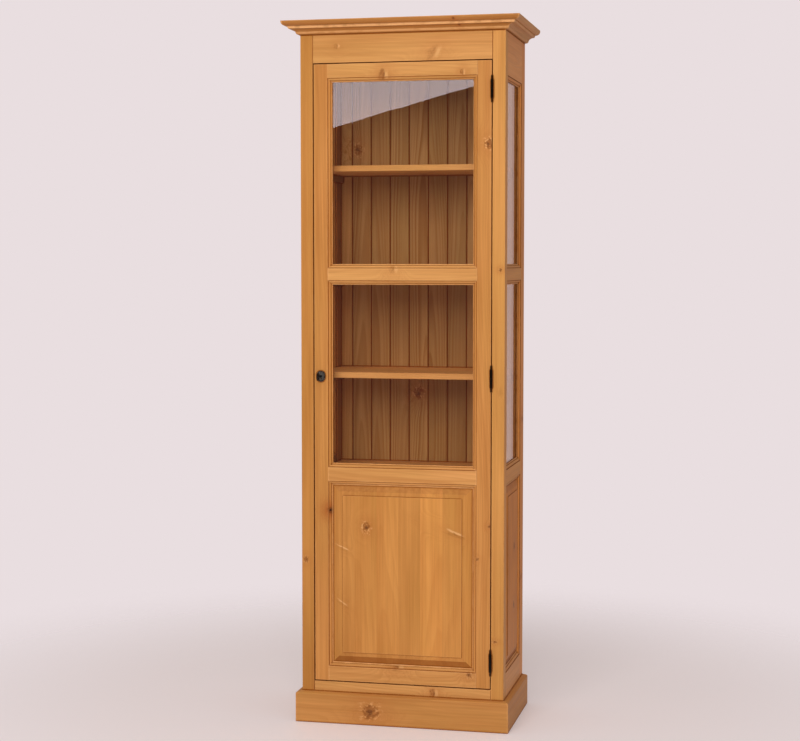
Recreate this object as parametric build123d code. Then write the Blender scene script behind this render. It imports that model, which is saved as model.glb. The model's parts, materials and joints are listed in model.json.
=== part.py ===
from build123d import *
import math
import os

# Tall one-door display cabinet in solid pine. Millimetres, +Z up.
# X runs left to right seen from the front, the door faces -Y, the floor is Z = 0.
# The origin is on the floor, in the middle of the cabinet's overall width and depth.

os.makedirs("parts", exist_ok=True)

# ---------------------------------------------------------------- driving dimensions

# carcase
body_width = 588.0
body_depth = 341.0
front_post_width = 36.0            # seen from the front
front_post_depth = 38.0            # seen from the side, up to the side mouldings
rear_post_width = 30.0
rear_post_depth = 55.0
side_frame_thickness = 26.0
front_rail_level = 118.5           # top edge of the rail under the door
front_rail_height = 60.0
frieze_height = 80.5               # between the door opening and the cornice
board_thickness = 18.0             # top and bottom boards
bottom_board_rise = 10.5           # the bottom board stands up behind the door as its stop
stop_thickness = 18.0
stop_height = 40.0
stop_overlap = 16.0                # how far the upper stop hangs down behind the door
stop_end_gap = 16.0
stop_clearance = 0.5

# door and the side frames, which share their levels
door_gap = 2.5
door_thickness = 24.0
door_stile_flat = 40.5
door_bottom_flat = 42.5
panel_height = 512.0               # sight heights between the mouldings
lock_rail_flat = 39.0
lower_light_height = 509.5
mid_rail_flat = 34.0
upper_light_height = 512.0
door_top_flat = 39.0
side_bottom_flat_level = 159.0     # top of the flat of the side frame's lowest rail
side_bottom_rail_foot = 45.0

# moulding worked on the inner edges of every frame
moulding_width = 12.0
moulding_quirk = 2.0
moulding_ledge = 1.3
moulding_round_depth = 7.0
moulding_bead_width = 4.0
moulding_bead_ledge = 1.0
moulding_depth = 8.5
glass_recess = 11.0
glass_thickness = 3.0
rebate_width = 8.0
seat_clearance = 0.1
bead_bevel = 5.0

# raised and fielded panels
groove_front = 10.0
groove_width = 6.0
groove_depth = 9.0
panel_expansion_gap = 1.0
panel_bevel_width = 18.0           # steep bevel next to the moulding
panel_bevel_rise = 6.0
panel_margin_width = 12.0          # gentler slope between the bevel and the raised field
panel_margin_rise = 1.6
panel_field_step = 1.4

# mortise and tenon joints
tenon_thickness = 8.0
tenon_setback = 8.0
door_tenon_length = 30.0
side_tenon_length = 25.0
front_tenon_length = 18.0
back_tenon_length = 13.0
tenon_haunch = 4.0
tenon_clearance = 0.15
mortise_end_gap = 1.0
rail_end_vee = 1.5                 # chamfer on the face of a rail where it meets a post

# back
back_rail_thickness = 20.0
back_rail_height = 60.0
back_board_thickness = 10.0
back_board_cover = 58.5
back_board_narrowest = 25.0
back_board_lap = 22.5              # rebate in the rear posts
back_board_foot = 20.0
back_tongue = 4.0
back_tongue_thickness = 3.2
back_vee = 2.4
back_clearance = 0.2

# cornice, height and projection of each member from the bottom up
cornice_height = 36.0
cornice_projection = 45.0
cornice_lip = 3.5
cornice_bead_projection = 11.0
cornice_bead_top = 7.5
cornice_cove_projection = 27.5
cornice_cove_top = 15.5
cornice_fillet_projection = 31.0
cornice_fillet_top = 22.0
cornice_fascia_foot = 33.0
cornice_cove_sag = 2.8              # rise of the cove above the straight line between its ends

# plinth
plinth_height = 89.0
plinth_projection = 16.0
plinth_face_height = 80.5
plinth_round_height = 86.5
plinth_round_inset = 5.0

# shelves
shelf_thickness = 17.0
shelf_setback = 60.0               # behind the front of the body
shelf_end_clearance = 0.5
shelf_edge_round = 2.0
rail_shelf_drop = 16.0             # shelves behind a rail lie below the top of its flat
upper_shelf_rise = 309.0           # above the shelf behind the middle rail
lower_shelf_rise = 285.0           # above the shelf behind the lock rail
cupboard_shelf_rise = 296.5        # above the bottom board
bearer_height = 20.0
bearer_width = 12.0

# hinges with pointed finials
hinge_from_top = 79.0
hinge_from_bottom = 74.5
hinge_barrel_radius = 3.8
hinge_barrel_length = 48.0
hinge_shoulder_length = 3.5
hinge_finial_length = 13.0
hinge_finial_radius = 2.3
hinge_standoff = 4.8               # axis in front of the door's face
hinge_leaf_thickness = 1.2
hinge_leaf_depth = 20.0
hinge_knuckle_gap = 0.3
hinge_pin_radius = 2.2
hinge_pin_clearance = 0.05
hinge_pin_reach = 20.0

# lock, key and strike
keyhole_from_edge = 19.5
lock_case_width = 38.0
lock_case_height = 66.0
lock_case_depth = 12.0
lock_case_wall = 1.5
lock_case_drop = 30.0              # keyhole above the foot of the case
bolt_height = 10.0
bolt_thickness = 6.0
bolt_length = 34.0
bolt_throw = 8.0
bolt_rise = 10.0                   # foot of the bolt above the keyhole
bolt_retreat = 0.5                 # end of the bolt behind the door's edge
bolt_clearance = 0.3
bolt_cover = 2.5                   # between the door's back and the bolt
escutcheon_width = 25.0
escutcheon_height = 31.0
escutcheon_thickness = 1.6
escutcheon_rim = 1.2
escutcheon_rim_width = 3.0
key_shaft_radius = 2.4
key_running_clearance = 0.05
key_hole_clearance = 0.3
key_bit_length = 8.5
key_bit_thickness = 2.0
key_bit_width = 5.5
key_bit_cover = 2.0
key_slot_clearance = 0.4
key_collar_radius = 3.9
key_collar_length = 2.0
key_collar_gap = 0.3
key_bow_outer_radius = 11.5
key_bow_inner_radius = 7.5
key_bow_thickness = 3.6
key_bow_distance = 31.0            # centre of the bow in front of the door's face
strike_width = 16.0
strike_height = 46.0
strike_thickness = 1.2
strike_pocket_end_gap = 7.0        # beyond the end of the thrown bolt

overrun = 2.0                      # how far cutting bodies run past what they cut
diagonal = math.sqrt(0.5)          # middle of a quarter round, as a share of its radius

# ---------------------------------------------------------------- worked out

door_opening_bottom = front_rail_level
door_bottom = door_opening_bottom + door_gap
panel_foot = door_bottom + door_bottom_flat + moulding_width
panel_top = panel_foot + panel_height
lock_rail_foot = panel_top + moulding_width
lock_rail_top = lock_rail_foot + lock_rail_flat
lower_light_foot = lock_rail_top + moulding_width
lower_light_top = lower_light_foot + lower_light_height
mid_rail_foot = lower_light_top + moulding_width
mid_rail_top = mid_rail_foot + mid_rail_flat
upper_light_foot = mid_rail_top + moulding_width
upper_light_top = upper_light_foot + upper_light_height
top_rail_foot = upper_light_top + moulding_width
door_top = top_rail_foot + door_top_flat
door_opening_top = door_top + door_gap
cornice_foot = door_opening_top + frieze_height
overall_height = cornice_foot + cornice_height
post_height = overall_height - board_thickness

half_width = body_width / 2
front_y = cornice_projection - (body_depth + cornice_projection) / 2
rear_y = front_y + body_depth
front_post_inner = half_width - front_post_width
rear_post_inner = half_width - rear_post_width
side_inner = half_width - side_frame_thickness
front_shoulder = front_y + front_post_depth
rear_shoulder = rear_y - rear_post_depth
front_rail_thickness = door_thickness + stop_clearance
stop_face_y = front_y + front_rail_thickness
back_front_y = rear_y - back_board_thickness

door_half = front_post_inner - door_gap
door_shoulder = door_half - door_stile_flat
door_sight = door_shoulder - moulding_width
bottom_board_top = door_opening_bottom + bottom_board_rise
side_panel_foot = side_bottom_flat_level + moulding_width
shelf_half = rear_post_inner - shelf_end_clearance

hinge_x = (door_half + front_post_inner) / 2
hinge_y = front_y - hinge_standoff
upper_hinge_z = door_top - hinge_from_top
lower_hinge_z = door_bottom + hinge_from_bottom
middle_hinge_z = (upper_hinge_z + lower_hinge_z) / 2
hinge_levels = [lower_hinge_z, middle_hinge_z, upper_hinge_z]
key_x = keyhole_from_edge - door_half
key_z = middle_hinge_z
door_back_y = front_y + door_thickness

case_left = key_x - lock_case_width / 2
case_foot = key_z - lock_case_drop
strike_y = door_back_y + bolt_cover + bolt_thickness / 2
strike_z = key_z + bolt_rise + bolt_height / 2
strike_pocket_depth = bolt_throw - bolt_retreat - door_gap + strike_pocket_end_gap

mid_shelf_top = mid_rail_top - rail_shelf_drop
lock_shelf_top = lock_rail_top - rail_shelf_drop
shelf_tops = {
    "shelf_1": mid_shelf_top + upper_shelf_rise,
    "shelf_2": mid_shelf_top,
    "shelf_3": lock_shelf_top + lower_shelf_rise,
    "shelf_4": lock_shelf_top,
    "shelf_5": bottom_board_top + cupboard_shelf_rise,
}

door_openings = [
    (panel_foot, panel_top),
    (lower_light_foot, lower_light_top),
    (upper_light_foot, upper_light_top),
]
side_openings = [(side_panel_foot, panel_top)] + door_openings[1:]
side_sights = (front_shoulder + moulding_width, rear_shoulder - moulding_width)
door_sights = (-door_sight, door_sight)

# ---------------------------------------------------------------- general helpers


def block(x, y, z):
    """Box between two limits on each axis."""
    limits = (x, y, z)
    size = [high - low for low, high in limits]
    centre = [(high + low) / 2 for low, high in limits]
    return Pos(*centre) * Box(*size)


def upright_plate(outline, thickness):
    """Outline of (x, z) points, standing on the XZ plane and running back to y = thickness."""
    wire = Polyline([(x, 0, z) for x, z in outline], close=True)
    return extrude(make_face(wire), amount=thickness, dir=(0, 1, 0))


def flat_plate(outline, z):
    """Outline of (x, y) points, filled between two levels."""
    wire = Polyline([(x, y, z[0]) for x, y in outline], close=True)
    return extrude(make_face(wire), amount=z[1] - z[0], dir=(0, 0, 1))


def crossed(section, across, up, reach):
    """Body whose section is the same along x and along z, with mitred corners.

    section(low, high) gives a face with x as the distance across and y as the depth.
    """
    upright = Pos(0, 0, up[0] - reach) * extrude(section(*across), amount=up[1] - up[0] + 2 * reach)
    lying_plane = Plane(origin=(across[1] + reach, 0, 0), x_dir=(0, 0, 1), z_dir=(-1, 0, 0))
    lying = extrude(lying_plane * section(*up), amount=across[1] - across[0] + 2 * reach)
    return upright & lying


def quarter_round(start, end, corner):
    """Arc from start to end that swells towards one corner of the box they span."""
    centre = (start[0] + end[0] - corner[0], start[1] + end[1] - corner[1])
    middle = tuple(c + diagonal * (k - c) for c, k in zip(centre, corner))
    return ThreePointArc(start, middle, end)


def grown(limits, by):
    return (limits[0] - by, limits[1] + by)


def save(name, shape):
    """Write one sub-part; shape may be one solid or a list of separate solids."""
    if isinstance(shape, list):
        solids = [solid for item in shape for solid in item.solids()]
        shape = Compound(children=solids)
    export_step(shape, os.path.join("parts", name + ".step"))


# ---------------------------------------------------------------- frames, mouldings, panels


def moulding_flank(edge, out, thickness):
    """Air side of the moulding at one sight edge, from the face to the back of the frame."""
    round_start = moulding_width - moulding_ledge
    bevel_start = moulding_bead_width - moulding_bead_ledge

    def at(offset, depth):
        return (edge + out * offset, depth)

    return [
        Line(at(moulding_width, -overrun), at(moulding_width, moulding_quirk)),
        Line(at(moulding_width, moulding_quirk), at(round_start, moulding_quirk)),
        quarter_round(
            at(round_start, moulding_quirk),
            at(moulding_bead_width, moulding_round_depth),
            at(moulding_bead_width, moulding_quirk),
        ),
        Line(at(moulding_bead_width, moulding_round_depth), at(bevel_start, moulding_round_depth)),
        Line(at(bevel_start, moulding_round_depth), at(0, moulding_depth)),
        Line(at(0, moulding_depth), at(0, thickness + overrun)),
    ]


def moulded_opening(across, up, thickness):
    """Air in a moulded opening: the hole itself and the moulding round its front."""

    def section(low, high):
        top = Line((low - moulding_width, -overrun), (high + moulding_width, -overrun))
        bottom = Line((low, thickness + overrun), (high, thickness + overrun))
        edges = moulding_flank(low, -1, thickness) + moulding_flank(high, 1, thickness)
        return make_face([top, bottom] + edges)

    return crossed(section, across, up, moulding_width + overrun)


def glass_rebate(across, up, thickness):
    return block(
        grown(across, rebate_width),
        (glass_recess, thickness + overrun),
        grown(up, rebate_width),
    )


def panel_groove(across, up):
    return block(
        grown(across, groove_depth),
        (groove_front, groove_front + groove_width),
        grown(up, groove_depth),
    )


def frame_air(across, openings, thickness):
    """All that is cut from the members of a frame with a panel below and two lights above."""
    air = [moulded_opening(across, up, thickness) for up in openings]
    air.append(panel_groove(across, openings[0]))
    air += [glass_rebate(across, up, thickness) for up in openings[1:]]
    return air


def stile_outline(outer, shoulder, sight, foot, top, openings):
    points = [(outer, foot), (shoulder, foot)]
    for low, high in openings:
        points += [
            (shoulder, low - moulding_width),
            (sight, low),
            (sight, high),
            (shoulder, high + moulding_width),
        ]
    return points + [(shoulder, top), (outer, top)]


def rail_outline(across, foot, top, moulded_below, moulded_above):
    """Rail between two shoulders; a moulded edge runs on to the mitres at the sight corners."""
    low, high = across
    shoulders = (low - moulding_width, high + moulding_width)
    points = [(shoulders[0], foot)]
    if moulded_below:
        points += [(low, foot - moulding_width), (high, foot - moulding_width)]
    points += [(shoulders[1], foot), (shoulders[1], top)]
    if moulded_above:
        points += [(high, top + moulding_width), (low, top + moulding_width)]
    return points + [(shoulders[0], top)]


def tenon(end, direction, length, depth, up):
    """Tenon that leaves a shoulder at x = end towards direction."""
    x = sorted((end - direction * overrun, end + direction * length))
    return block(x, (depth, depth + tenon_thickness), grown(up, -tenon_haunch))


def mortise(end, direction, length, depth, up):
    x = sorted((end - direction * overrun, end + direction * (length + mortise_end_gap)))
    y = grown((depth, depth + tenon_thickness), tenon_clearance)
    return block(x, y, grown(up, tenon_clearance - tenon_haunch))


def frame_rail(across, flat, moulded, thickness, tenon_length, air):
    """Moulded rail with a tenon at each end; flat is its level, moulded says (below, above)."""
    piece = upright_plate(rail_outline(across, *flat, *moulded), thickness)
    for cutter in air:
        piece -= cutter
    piece += tenon(across[0] - moulding_width, -1, tenon_length, tenon_setback, flat)
    piece += tenon(across[1] + moulding_width, 1, tenon_length, tenon_setback, flat)
    return piece


def raised_panel(across, up):
    """Fielded panel: tongues in the grooves, a bevel of two slopes, a step and a flat field."""
    tongue_front = groove_front + seat_clearance
    back = groove_front + groove_width - seat_clearance
    reach = groove_depth - panel_expansion_gap
    bevel_top = tongue_front - panel_bevel_rise
    margin_top = bevel_top - panel_margin_rise
    field = margin_top - panel_field_step
    inset = panel_bevel_width + panel_margin_width

    def section(low, high):
        outline = [
            (low - reach, tongue_front),
            (low, tongue_front),
            (low + panel_bevel_width, bevel_top),
            (low + inset, margin_top),
            (low + inset, field),
            (high - inset, field),
            (high - inset, margin_top),
            (high - panel_bevel_width, bevel_top),
            (high, tongue_front),
            (high + reach, tongue_front),
            (high + reach, back),
            (low - reach, back),
        ]
        return make_face(Polyline(outline, close=True))

    return crossed(section, across, up, groove_depth)


def pane(across, up):
    return block(
        grown(across, rebate_width - seat_clearance),
        (glass_recess + seat_clearance, glass_recess + seat_clearance + glass_thickness),
        grown(up, rebate_width - seat_clearance),
    )


def glazing_beads(across, up, thickness):
    """Four mitred strips that hold a pane in its rebate, bevelled on their inner edge."""
    front = glass_recess + glass_thickness + 2 * seat_clearance
    outer_x = grown(across, rebate_width - seat_clearance)
    outer_z = grown(up, rebate_width - seat_clearance)

    def section(low, high):
        outline = [
            (low, front - overrun),
            (high, front - overrun),
            (high, thickness - bead_bevel),
            (high + bead_bevel, thickness),
            (high + bead_bevel, thickness + overrun),
            (low - bead_bevel, thickness + overrun),
            (low - bead_bevel, thickness),
            (low, thickness - bead_bevel),
        ]
        return make_face(Polyline(outline, close=True))

    air = crossed(section, across, up, rebate_width + overrun)
    strips = []
    for side in (0, 1):
        upright = [(outer_x[side], outer_z[0]), (across[side], up[0])]
        upright += [(across[side], up[1]), (outer_x[side], outer_z[1])]
        lying = [(outer_x[0], outer_z[side]), (across[0], up[side])]
        lying += [(across[1], up[side]), (outer_x[1], outer_z[side])]
        for corners in (upright, lying):
            strips.append(Pos(0, front, 0) * upright_plate(corners, thickness - front) - air)
    return strips


# ---------------------------------------------------------------- side frames


def at_right_side(piece):
    """Stand a frame member, drawn facing -Y, on the right-hand side of the body."""
    return Pos(half_width, 0, 0) * Rot(0, 0, 90) * piece


def at_left_side(piece):
    return mirror(at_right_side(piece), about=Plane.YZ)


side_flats = {
    "side_bottom_rail": ((side_bottom_rail_foot, side_bottom_flat_level), (False, True)),
    "side_lock_rail": ((lock_rail_foot, lock_rail_top), (True, True)),
    "side_mid_rail": ((mid_rail_foot, mid_rail_top), (True, True)),
    "side_top_rail": ((top_rail_foot, post_height), (True, False)),
}
side_air = frame_air(side_sights, side_openings, side_frame_thickness)
front_rail_levels = {
    "frieze_rail": (door_opening_top, post_height),
    "front_bottom_rail": (front_rail_level - front_rail_height, front_rail_level),
}
back_rail_levels = {
    "back_rail_top": (post_height - back_rail_height, post_height),
    "back_rail_bottom": (
        bottom_board_top - board_thickness - back_rail_height,
        bottom_board_top - board_thickness,
    ),
}
back_rail_y = (back_front_y - back_rail_thickness, back_front_y)
back_tenon_y = back_rail_y[0] + (back_rail_thickness - tenon_thickness) / 2


def side_post(shoulder, sight, outer, depth, direction):
    """Corner post drawn in the plane of the side frame; direction runs from rail to post."""
    width = sorted((outer, shoulder))
    piece = block(width, (0, depth), (0, post_height))
    piece += upright_plate(
        stile_outline(outer, shoulder, sight, 0, post_height, side_openings),
        side_frame_thickness,
    )
    for cutter in side_air:
        piece -= cutter
    for flat, _ in side_flats.values():
        piece -= mortise(shoulder, direction, side_tenon_length, tenon_setback, flat)
    return piece


def front_post_right():
    piece = side_post(front_shoulder, side_sights[0], front_y, front_post_width, -1)
    piece = at_right_side(piece)
    for level in front_rail_levels.values():
        piece -= mortise(front_post_inner, 1, front_tenon_length, front_y + tenon_setback, level)
    return piece


def rear_post_right():
    piece = side_post(rear_shoulder, side_sights[1], rear_y, rear_post_width, 1)
    piece = at_right_side(piece)
    piece -= block(
        (rear_post_inner - overrun, rear_post_inner + back_board_lap),
        (back_front_y, rear_y + overrun),
        (-overrun, post_height + overrun),
    )
    for level in back_rail_levels.values():
        piece -= mortise(rear_post_inner, 1, back_tenon_length, back_tenon_y, level)
    return piece


def hinge_leaf_recess(x):
    """Shallow seats for the hinge leaves, cut into an edge of the door or of a post."""
    half = hinge_barrel_length / 2
    y = (front_y - overrun, front_y + hinge_leaf_depth)
    return [block(x, y, (level - half, level + half)) for level in hinge_levels]


front_post = front_post_right()
left_front_post = mirror(front_post, about=Plane.YZ)
for cutter in hinge_leaf_recess((front_post_inner - overrun, front_post_inner + hinge_leaf_thickness)):
    front_post -= cutter
strike_span_y = (strike_y - strike_width / 2, strike_y + strike_width / 2)
strike_span_z = (strike_z - strike_height / 2, strike_z + strike_height / 2)
strike_window_y = grown((strike_y, strike_y), bolt_thickness / 2 + bolt_clearance)
strike_window_z = grown((strike_z, strike_z), bolt_height / 2 + bolt_clearance)
left_front_post -= block(
    (-front_post_inner - strike_thickness, -front_post_inner + overrun),
    strike_span_y,
    strike_span_z,
)
left_front_post -= block(
    (-front_post_inner - strike_pocket_depth, -front_post_inner + overrun),
    strike_window_y,
    strike_window_z,
)
save("post_front_right", front_post)
save("post_front_left", left_front_post)

rear_post = rear_post_right()
save("post_rear_right", rear_post)
save("post_rear_left", mirror(rear_post, about=Plane.YZ))

for name, (flat, moulded) in side_flats.items():
    rail = frame_rail(
        side_sights, flat, moulded, side_frame_thickness, side_tenon_length, side_air
    )
    save(name + "_right", at_right_side(rail))
    save(name + "_left", at_left_side(rail))

side_panel = raised_panel(side_sights, side_openings[0])
save("side_panel_right", at_right_side(side_panel))
save("side_panel_left", at_left_side(side_panel))

side_beads = []
for name, up in zip(("side_glass_lower", "side_glass_upper"), side_openings[1:]):
    glass = pane(side_sights, up)
    save(name + "_right", at_right_side(glass))
    save(name + "_left", at_left_side(glass))
    side_beads += glazing_beads(side_sights, up, side_frame_thickness)
save("side_beads_right", [at_right_side(strip) for strip in side_beads])
save("side_beads_left", [at_left_side(strip) for strip in side_beads])

# ---------------------------------------------------------------- front rails, stop, boards


def cross_rail(half_length, y, up, tenon_length, tenon_y):
    """Plain rail between two posts, with a tenon and a chamfered front arris at each end."""
    outline = [(half_length, y[1]), (half_length, y[0] + rail_end_vee), (half_length - rail_end_vee, y[0])]
    outline += [(-x, y) for x, y in reversed(outline)]
    piece = flat_plate(outline, up)
    piece += tenon(half_length, 1, tenon_length, tenon_y, up)
    piece += tenon(-half_length, -1, tenon_length, tenon_y, up)
    return piece


front_rail_y = (front_y, stop_face_y)
front_tenon_y = front_y + tenon_setback
for name, level in front_rail_levels.items():
    save(name, cross_rail(front_post_inner, front_rail_y, level, front_tenon_length, front_tenon_y))
for name, level in back_rail_levels.items():
    save(name, cross_rail(rear_post_inner, back_rail_y, level, back_tenon_length, back_tenon_y))

door_stop = block(
    (stop_end_gap - front_post_inner, front_post_inner - stop_end_gap),
    (stop_face_y, stop_face_y + stop_thickness),
    (door_top - stop_overlap, door_top - stop_overlap + stop_height),
)
save("door_stop", door_stop)

save("top_board", block((-half_width, half_width), (front_y, rear_y), (post_height, overall_height)))

bottom_outline = [
    (front_post_inner, stop_face_y),
    (front_post_inner, front_shoulder),
    (side_inner, front_shoulder),
    (side_inner, rear_shoulder),
    (rear_post_inner, rear_shoulder),
    (rear_post_inner, back_front_y),
]
bottom_outline += [(-x, y) for x, y in reversed(bottom_outline)]
save("bottom_board", flat_plate(bottom_outline, (bottom_board_top - board_thickness, bottom_board_top)))

# ---------------------------------------------------------------- tongue and groove back


def back_board(left, right, first, last):
    """Upright board with a groove on its left edge and a tongue on its right edge."""
    middle = (back_front_y + rear_y) / 2
    tongue = grown((middle, middle), back_tongue_thickness / 2)
    groove = grown(tongue, back_clearance)
    start = left if first else left + back_clearance
    outline = [(start, back_front_y + back_vee), (start + back_vee, back_front_y)]
    outline += [(right - back_vee, back_front_y), (right, back_front_y + back_vee)]
    if not last:
        outline += [(right, tongue[0]), (right + back_tongue, tongue[0])]
        outline += [(right + back_tongue, tongue[1]), (right, tongue[1])]
    outline += [(right, rear_y), (start, rear_y)]
    if not first:
        bottom = start + back_tongue + back_clearance
        outline += [(start, groove[1]), (bottom, groove[1]), (bottom, groove[0]), (start, groove[0])]
    return flat_plate(outline, (back_board_foot, post_height))


back_half = rear_post_inner + back_board_lap
full_boards = int((2 * back_half - back_board_narrowest) // back_board_cover)
joints = [-back_half + back_board_cover * index for index in range(full_boards + 1)] + [back_half]
save(
    "back_boards",
    [
        back_board(left, right, index == 0, index == full_boards)
        for index, (left, right) in enumerate(zip(joints, joints[1:]))
    ],
)

# ---------------------------------------------------------------- cornice and plinth


def mitred_set(section_edges, projection):
    """Moulding round the front and both sides of the body, mitred at the front corners.

    section_edges are drawn with x as the distance out from the body and y as the level.
    """
    section = make_face(section_edges)
    front_plane = Plane(origin=(half_width + projection, front_y, 0), x_dir=(0, -1, 0), z_dir=(-1, 0, 0))
    front = extrude(front_plane * section, amount=body_width + 2 * projection)
    tall = (-overrun, overall_height + overrun)
    front &= flat_plate(
        [
            (-half_width - projection, front_y - projection),
            (half_width + projection, front_y - projection),
            (half_width, front_y),
            (-half_width, front_y),
        ],
        tall,
    )
    side_plane = Plane(origin=(half_width, rear_y, 0), x_dir=(1, 0, 0), z_dir=(0, -1, 0))
    right = extrude(side_plane * section, amount=body_depth + projection)
    right &= flat_plate(
        [
            (half_width, front_y),
            (half_width + projection, front_y - projection),
            (half_width + projection, rear_y),
            (half_width, rear_y),
        ],
        tall,
    )
    return {"front": front, "right": right, "left": mirror(right, about=Plane.YZ)}


def cornice_point(out, rise):
    return (out, cornice_foot + rise)


fascia_foot_rise = cornice_fillet_top + cornice_projection - cornice_fascia_foot
cornice_lip_end = cornice_point(cornice_lip, 0)
cornice_bead_end = cornice_point(cornice_bead_projection, cornice_bead_top)
cornice_cove_middle = cornice_point(
    (cornice_bead_projection + cornice_cove_projection) / 2,
    (cornice_bead_top + cornice_cove_top) / 2 + cornice_cove_sag,
)
cornice_cove_end = cornice_point(cornice_cove_projection, cornice_cove_top)
cornice_fillet_end = cornice_point(cornice_fillet_projection, cornice_fillet_top)
cornice_round_foot = cornice_point(cornice_fascia_foot, cornice_fillet_top)
cornice_round_head = cornice_point(cornice_projection, fascia_foot_rise)
cornice_edges = [
    Line(cornice_point(0, 0), cornice_lip_end),
    quarter_round(cornice_lip_end, cornice_bead_end, cornice_point(cornice_bead_projection, 0)),
    ThreePointArc(cornice_bead_end, cornice_cove_middle, cornice_cove_end),
    Line(cornice_cove_end, cornice_fillet_end),
    Line(cornice_fillet_end, cornice_round_foot),
    quarter_round(
        cornice_round_foot,
        cornice_round_head,
        cornice_point(cornice_projection, cornice_fillet_top),
    ),
    Line(cornice_round_head, (cornice_projection, overall_height)),
    Line((cornice_projection, overall_height), (0, overall_height)),
    Line((0, overall_height), cornice_point(0, 0)),
]
for name, piece in mitred_set(cornice_edges, cornice_projection).items():
    save("cornice_" + name, piece)

plinth_round_foot = (plinth_projection, plinth_face_height)
plinth_round_head = (plinth_projection - plinth_round_inset, plinth_round_height)
plinth_edges = [
    Line((0, 0), (plinth_projection, 0)),
    Line((plinth_projection, 0), plinth_round_foot),
    quarter_round(plinth_round_foot, plinth_round_head, (plinth_projection, plinth_round_height)),
    Line(plinth_round_head, (0, plinth_height)),
    Line((0, plinth_height), (0, 0)),
]
for name, piece in mitred_set(plinth_edges, plinth_projection).items():
    save("plinth_" + name, piece)

# ---------------------------------------------------------------- shelves


def shelf(top):
    board = block(
        (-shelf_half, shelf_half),
        (front_y + shelf_setback, back_front_y),
        (top - shelf_thickness, top),
    )
    front_edges = board.edges().filter_by(Axis.X).group_by(Axis.Y)[0]
    return fillet(front_edges, shelf_edge_round)


def bearer(top):
    """Batten under one end of a shelf, notched round the rear post."""
    outline = [
        (side_inner, front_shoulder),
        (side_inner, rear_shoulder),
        (rear_post_inner, rear_shoulder),
        (rear_post_inner, back_front_y),
        (side_inner - bearer_width, back_front_y),
        (side_inner - bearer_width, front_shoulder),
    ]
    return flat_plate(outline, (top - bearer_height, top))


bearers = []
for name, top in shelf_tops.items():
    save(name, shelf(top))
    right_bearer = bearer(top - shelf_thickness)
    bearers += [right_bearer, mirror(right_bearer, about=Plane.YZ)]
save("shelf_bearers", bearers)

# ---------------------------------------------------------------- door

door_air = frame_air(door_sights, door_openings, door_thickness)
door_flats = {
    "door_bottom_rail": ((door_bottom, door_bottom + door_bottom_flat), (False, True)),
    "door_lock_rail": ((lock_rail_foot, lock_rail_top), (True, True)),
    "door_mid_rail": ((mid_rail_foot, mid_rail_top), (True, True)),
    "door_top_rail": ((top_rail_foot, door_top), (True, False)),
}


def at_door(piece):
    return Pos(0, front_y, 0) * piece


def door_stile(side):
    """Full-height stile, side -1 for the lock side and 1 for the hinge side."""
    outline = stile_outline(
        side * door_half, side * door_shoulder, side * door_sight, door_bottom, door_top, door_openings
    )
    piece = upright_plate(outline, door_thickness)
    for cutter in door_air:
        piece -= cutter
    for flat, _ in door_flats.values():
        piece -= mortise(side * door_shoulder, side, door_tenon_length, tenon_setback, flat)
    return at_door(piece)


def key_turned(radius, y):
    """Round body on the key's axis between two depths."""
    return Pos(key_x, sum(y) / 2, key_z) * Rot(90, 0, 0) * Cylinder(radius, y[1] - y[0])


def keyhole(clearance, y):
    """Round hole for the key's shaft with a slot below it for the bit."""
    hole = key_turned(key_shaft_radius + clearance, y)
    slot_half = key_bit_thickness / 2 + key_slot_clearance
    slot = block(
        (key_x - slot_half, key_x + slot_half),
        y,
        (key_z - key_bit_length - key_slot_clearance, key_z),
    )
    return hole + slot


lock_stile = door_stile(-1)
lock_stile -= keyhole(2 * key_hole_clearance, (front_y - overrun, door_back_y + overrun))
save("door_stile_lock", lock_stile)

hinge_stile = door_stile(1)
for cutter in hinge_leaf_recess((door_half - hinge_leaf_thickness, door_half + overrun)):
    hinge_stile -= cutter
save("door_stile_hinge", hinge_stile)

for name, (flat, moulded) in door_flats.items():
    rail = frame_rail(door_sights, flat, moulded, door_thickness, door_tenon_length, door_air)
    save(name, at_door(rail))

save("door_panel", at_door(raised_panel(door_sights, door_openings[0])))
door_beads = []
for name, up in zip(("door_glass_lower", "door_glass_upper"), door_openings[1:]):
    save(name, at_door(pane(door_sights, up)))
    door_beads += glazing_beads(door_sights, up, door_thickness)
save("door_beads", [at_door(strip) for strip in door_beads])

# ---------------------------------------------------------------- hinges


def knuckle(centre, side):
    """Half of the barrel, turned with its finial: side 1 is the lower half with the pin."""
    joint = centre - side * hinge_knuckle_gap / 2
    end = centre - side * hinge_barrel_length / 2
    tip = end - side * hinge_finial_length
    pin_top = centre + hinge_pin_reach
    if side > 0:
        core = [(0, pin_top), (hinge_pin_radius, pin_top), (hinge_pin_radius, joint)]
    else:
        bore_radius = hinge_pin_radius + hinge_pin_clearance
        bore_top = pin_top + hinge_knuckle_gap
        core = [(0, bore_top), (bore_radius, bore_top), (bore_radius, joint)]
    profile = core + [
        (hinge_barrel_radius, joint),
        (hinge_barrel_radius, end),
        (hinge_finial_radius, end - side * hinge_shoulder_length),
        (hinge_finial_radius, tip),
        (0, tip),
    ]
    turned = revolve(Plane.XZ * make_face(Polyline(profile, close=True)), Axis.Z)
    return Pos(hinge_x, hinge_y, 0) * turned


def hinge_leaf(centre, side):
    """Half of a lift-off hinge: side 1 on the post with the pin, side -1 on the door."""
    half = hinge_barrel_length / 2
    face_x = front_post_inner if side > 0 else door_half
    x = sorted((face_x, face_x + side * hinge_leaf_thickness))
    plate = block(x, (front_y, front_y + hinge_leaf_depth), (centre - half, centre + half))
    web_z = sorted((centre - side * hinge_knuckle_gap / 2, centre - side * half))
    web = block(x, (hinge_y + diagonal * hinge_barrel_radius, front_y + overrun), web_z)
    return plate + web + knuckle(centre, side)


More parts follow.
